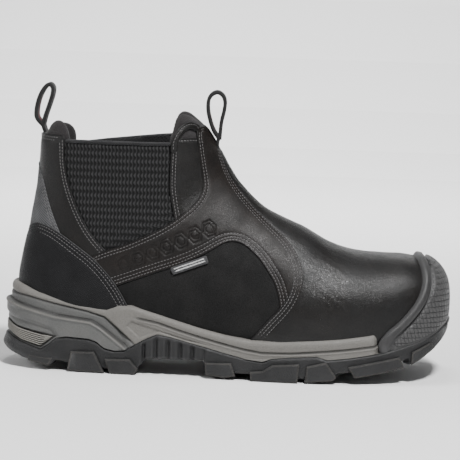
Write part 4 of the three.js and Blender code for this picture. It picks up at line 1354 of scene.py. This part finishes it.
def make_footbed():
    x = SOLE_POINTS[:, 0]
    seat = along(SEAT, x)
    rim = sole_ring(-15 - 8 * ramp(x, -112, -142), seat + 12.4)
    cap = sole_cap(rim, FOOTBED_COLUMNS)
    across = np.abs(np.linspace(-1, 1, FOOTBED_COLUMNS)) ** 4
    cap[:, :, 2] += 2.2 * across
    bm = join_grids(cap)
    bm.normal_update()
    bmesh.ops.solidify(bm, geom=bm.faces[:], thickness=1.4)
    finish_piece("footbed_top_cloth", bm, "spacer_mesh", ["footbed_cover"],
                 "footbed")
    foam = join_grids(cap - (0, 0, 1.6))
    foam.normal_update()
    made = bmesh.ops.extrude_face_region(foam, geom=foam.faces[:], use_keep_orig=True)["geom"]
    bmesh.ops.translate(foam, verts=only_verts(made), vec=(0, 0, -3.4))
    bmesh.ops.recalc_face_normals(foam, faces=foam.faces)
    finish_piece("footbed_foam_bed", foam, "open_foam", ["footbed_foam"], "footbed")


# ---------------------------------------------------------------- toe guard
TOE_EDGE = smooth([
    (123.5, 95), (124.6, 86), (127.4, 83), (130.6, 77), (131.6, 68.2), (128.4, 58.3), (122.4, 49.7),
    (115, 41.7), (108.9, 36.6), (103.5, 30.1), (99.5, 23), (96, 17),
])
TOE_FOOT = [(x, z - 1.5) for x, z in RIM if x > 100] + [(175, 60), (175, 95)]
TOE_GUARD = Outline((TOE_EDGE, ()), (TOE_FOOT, ()))
# The guard's rear edge alone, closed far below and in front, to measure from the lip.
LIP_SIDE = Outline((TOE_EDGE + [(90, 4), (190, -20), (190, 110), (123, 110)], ()))
TOE_LEVELS = (0.5, 1.3, 2.6, 4.0, 5.2, 6.0, 6.9, 7.7, 8.6, 9.5)  # edge loops of the lip's shape
LIP, LIP_HEIGHT, FIELD_HEIGHT = 5.6, 4.9, 4.3
TOE_CENTRE = Vector((104, 1, 38))
CELL, NO_ROOM = 2.9, -100.0


def toe_profile(distance):
    """Height of the guard above the leather: a fat rounded lip, a groove, then the field."""
    rise = LIP_HEIGHT * math.sqrt(max(0, 1 - (min(distance, 2.8) / 2.8 - 1) ** 2))
    fall = float(ramp(np.float64(distance), LIP - 0.4, LIP + 1.3))
    back = float(ramp(np.float64(distance), LIP + 2.1, LIP + 3.8))
    return rise - 2.6 * fall + (2.6 + FIELD_HEIGHT - LIP_HEIGHT) * back


def make_toe_guard():
    bm, _, _ = cut_panel(TOE_GUARD, BOTH, (0, 8), 1.8)
    drop_verts(bm, [v for v in bm.verts if v.normal.z < -0.6])
    rear = bm.verts.layers.float.new("rear")
    for vert, distance in zip(bm.verts, surface_distances(bm, LIP_SIDE)[0]):
        vert[rear] = max(distance, 0)
    pinned = {v for v in bm.verts if v.is_boundary}
    for level in TOE_LEVELS:
        cut_at(bm, rear, level, pinned)
    bm.normal_update()
    places = []
    for vert in bm.verts:
        place = vert.co + vert.normal * toe_profile(vert[rear])
        low = float(along(RIM, place.x))
        share = float(ramp(np.float64(place.z), low + 17, low + 1))
        beyond = 0.4 - 1.8 * float(ramp(np.float64(vert[rear]), 4, 0))
        place += outward_to_sole(place, beyond) * share
        if vert.is_boundary and vert[rear] > 0.4 and place.z < low + 10:
            place.z = float(along(RIM, place.x)) - 1.8
        places.append(place)
    for vert, place in zip(bm.verts, places):
        vert.co = place
    bmesh.ops.remove_doubles(bm, verts=bm.verts, dist=0.06)
    bmesh.ops.dissolve_degenerate(bm, edges=bm.edges, dist=0.06)
    bm.normal_update()
    make_toe_grid(BVHTree.FromBMesh(bm), bm, rear)
    thicken(bm, 1.6)
    finish_piece("toe_guard_rubber", bm, "toe_rubber", ["toe_guard"])


def outward_to_sole(place, beyond):
    """The level move that takes a place to a distance outside the sole outline."""
    xy = np.array((place.x, place.y))
    nearest = ((SOLE_POINTS - xy) ** 2).sum(axis=1).argmin()
    out = SOLE_OUT[nearest]
    move = out * max(beyond - float((xy - SOLE_POINTS[nearest]) @ out), 0)
    return Vector((*move, 0))


def make_toe_grid(skin, bm, rear):
    """Rows of small raised blocks over the front of the guard, following its shape."""
    bm.faces.ensure_lookup_table()
    turns = np.arange(-112, 113, math.degrees(CELL / 50))
    tilts = np.arange(-30, 74, math.degrees(CELL / 44))
    points = np.zeros((len(tilts), len(turns), 3))
    room = np.full(points.shape[:2], NO_ROOM)
    for i, tilt in enumerate(tilts):
        for j, turn in enumerate(turns):
            lean = 0.22 * tilt * (1 if turn > 0 else -1) * min(1, abs(turn) / 30)
            a, b = math.radians(turn + lean), math.radians(tilt)
            ray = Vector((math.cos(b) * math.cos(a), math.cos(b) * math.sin(a), math.sin(b)))
            hit, normal, face, _ = skin.ray_cast(TOE_CENTRE + ray * 90, -ray)
            if hit is None:
                points[i, j] = TOE_CENTRE + ray * 40
                continue
            points[i, j] = hit + normal * 0.05
            corners = bm.faces[face].verts
            shares = poly_3d_calc([v.co for v in corners], hit)
            behind = sum(v[rear] * share for v, share in zip(corners, shares))
            room[i, j] = min(behind - LIP - 2.4, hit.z - along(RIM, hit.x) - 1.2)
    grid = grid_mesh(points)
    inside = grid.verts.layers.float.new("room")
    grid.verts.ensure_lookup_table()
    for vert, value in zip(grid.verts, room.ravel()):
        vert[inside] = value
    drop_verts(grid, [v for v in grid.verts if v[inside] < NO_ROOM + 1])
    cut_at(grid, inside, 0.0, set())
    drop_verts(grid, [v for v in grid.verts if v[inside] < -NEARLY])
    slivers = [f for f in grid.faces if f.calc_area() < 1.6]
    bmesh.ops.delete(grid, geom=slivers, context="FACES")
    grid.normal_update()
    outward = sum(1 if f.normal.dot(f.calc_center_median() - TOE_CENTRE) > 0 else -1
                  for f in grid.faces)
    if outward < 0:
        bmesh.ops.reverse_faces(grid, faces=grid.faces)
    blocks = grid.faces[:]
    for thickness, depth in ((0.3, 0.0), (0.2, 0.5), (0.16, 0.08)):
        bmesh.ops.inset_individual(grid, faces=blocks, thickness=thickness, depth=depth)
    finish_piece("toe_guard_grid", grid, "toe_rubber")


# ---------------------------------------------------------------- pull loops
TAPE, TAPE_WIDTH = 2.6, 17.0
# A cut across the tape, as shares of its width and thickness.
TAPE_SECTION = [
    (-0.5, 0), (-0.49, 0.3), (-0.46, 0.5), (-0.2, 0.5), (0, 0.5), (0.2, 0.5), (0.46, 0.5),
    (0.49, 0.3), (0.5, 0), (0.49, -0.3), (0.46, -0.5), (0.2, -0.5), (0, -0.5), (-0.2, -0.5),
    (-0.46, -0.5), (-0.49, -0.3), (-0.5, 0),
]
FRONT_PIVOT, REAR_PIVOT = (-9.8, 160.4), (-132.6, 166.4)
FRONT_LOOP = [
    (-14.4, 167), (-18, 178), (-18.4, 186.5), (-16.2, 191), (-12.2, 192.8), (-8.4, 190.6),
    (-6.8, 186), (-7.4, 179.6), (-9, 171.8),
]
REAR_LOOP = [
    (-136.6, 170.8), (-137.4, 176), (-135.8, 184.5), (-132.5, 191.5), (-129, 194.6),
    (-126.4, 192.3), (-126.6, 187.5), (-128.6, 180.5), (-131, 173),
]


def strap(points, width=TAPE_WIDTH, thickness=TAPE):
    """A flat tape that follows points of the side view, with rounded edges."""
    line = np.array(points, float)
    ahead = np.gradient(line, axis=0)
    ahead /= np.linalg.norm(ahead, axis=1)[:, None]
    out = np.column_stack([-ahead[:, 1], ahead[:, 0]])
    section = [(y * width, h * thickness) for y, h in TAPE_SECTION]
    grid = np.zeros((len(line), len(section), 3))
    for j, (y, h) in enumerate(section):
        grid[:, j, 0] = line[:, 0] + out[:, 0] * h
        grid[:, j, 1] = y
        grid[:, j, 2] = line[:, 1] + out[:, 1] * h
    return grid


def make_loops():
    for name, pivot, route, red_leg in (
        ("front", FRONT_PIVOT, FRONT_LOOP, "last"), ("rear", REAR_PIVOT, REAR_LOOP, "first"),
    ):
        line = smooth([pivot, *route, pivot], 8)
        bm = join_grids(strap(line))
        top = max(z for _, z in line)
        for face in bm.faces:
            centre = face.calc_center_median()
            inner = abs(centre.y) < 4.5
            face.material_index = int(inner and centre.z < top - 8 and faces_gap(face, line))
        finish_piece(f"{name}_loop_webbing", bm, ["webbing", "red_webbing"],
                     [f"{name}_pull_loop"], f"{name}_loop")


def faces_gap(face, line):
    """Whether a face of a loop looks into the loop."""
    middle = np.mean(line, axis=0)
    centre = face.calc_center_median()
    return (middle[0] - centre.x) * face.normal.x > 0


def make_tails():
    front = smooth([(-10.2, 161.6), (-11.2, 157), (-10.5, 150), (-6.5, 141)], 6)
    rear = smooth([(-132.8, 167.5), (-131.6, 163.5), (-129.6, 159), (-128.4, 150)], 6)
    for name, line in (("front", front), ("rear", rear)):
        bm = join_grids(strap(line, TAPE_WIDTH, TAPE * 0.9))
        bmesh.ops.holes_fill(bm, edges=bm.edges, sides=40)
        finish_piece(f"{name}_loop_base", bm, "webbing", [f"{name}_loop_tail"])


# ---------------------------------------------------------------- camera, light and floor
def make_stage():
    floor_mesh = bpy.data.meshes.new("floor")
    bm = bmesh.new()
    bmesh.ops.create_grid(bm, x_segments=1, y_segments=60, size=6)
    bend_start, bend = 1.5, 1.5
    for vert in bm.verts:
        past = vert.co.y - bend_start
        if past > 0:
            angle = min(past / bend, math.pi / 2)
            vert.co.y = bend_start + bend * math.sin(angle)
            vert.co.z = bend * (1 - math.cos(angle)) + max(0, past - bend * math.pi / 2)
    bm.to_mesh(floor_mesh)
    bm.free()
    floor = bpy.data.objects.new("floor", floor_mesh)
    material, _, shader = new_material("floor", 0.9)
    shader.inputs["Base Color"].default_value = (0.9, 0.9, 0.9, 1)
    floor_mesh.materials.append(material)
    bpy.context.collection.objects.link(floor)
    world = bpy.data.worlds.new("studio")
    world.use_nodes = True
    world.node_tree.nodes["Background"].inputs["Color"].default_value = (1, 1, 1, 1)
    world.node_tree.nodes["Background"].inputs["Strength"].default_value = 0.12
    bpy.context.scene.world = world
    softbox("key", (0.32, -0.8, 1.3), (0.04, 0, 0.08), 0.26, 38)
    softbox("top", (-0.1, 0.2, 1.7), (0, 0, 0.1), 0.6, 9)
    softbox("rear_rim", (-1.4, -0.3, 0.8), (-0.1, 0, 0.08), 0.6, 8)
    softbox("backdrop", (0, 0.9, 1.4), (0, 2.4, 0.5), 1.2, 60)


def softbox(name, place, target, size, power):
    light = bpy.data.lights.new(name, "AREA")
    light.shape, light.size, light.energy = "DISK", size, power
    lamp = bpy.data.objects.new(name, light)
    lamp.location = place
    lamp.rotation_euler = (Vector(target) - Vector(place)).to_track_quat("-Z", "Y").to_euler()
    bpy.context.collection.objects.link(lamp)


def make_camera():
    distance, elevation, roll = 1.45, math.radians(6.3), math.radians(1.93)
    data = bpy.data.cameras.new("camera")
    data.lens = 36 * distance / 0.322
    camera = bpy.data.objects.new("camera", data)
    target = Vector((-0.0005, 0, 0.0968))
    camera.location = target + distance * Vector((0, -math.cos(elevation), math.sin(elevation)))
    look = (target - camera.location).to_track_quat("-Z", "Y")
    camera.rotation_euler = (look.to_matrix().to_4x4() @ Matrix.Rotation(roll, 4, "Z")).to_euler()
    data.clip_start, data.clip_end = 0.01, 20
    bpy.context.collection.objects.link(camera)
    bpy.context.scene.camera = camera


INNER_LOOKS = {
    "shank": "pressed_steel", "steel_toe_cap": "pressed_steel", "toe_cap_gasket": "outsole_rubber",
    "heel_counter": "fibreboard", "lasting_board": "fibreboard",
}


def finish_inner_parts():
    for name, look in INNER_LOOKS.items():
        for material_slot in frame["nodes"][name].material_slots:
            material_slot.material = LOOKS[look]


make_camera()
make_stage()
make_panels()
make_gores()
make_tag()
make_collars()
make_lining()
make_midsole()
make_outsole()
make_footbed()
make_toe_guard()
make_loops()
make_tails()
make_stitches()
finish_inner_parts()
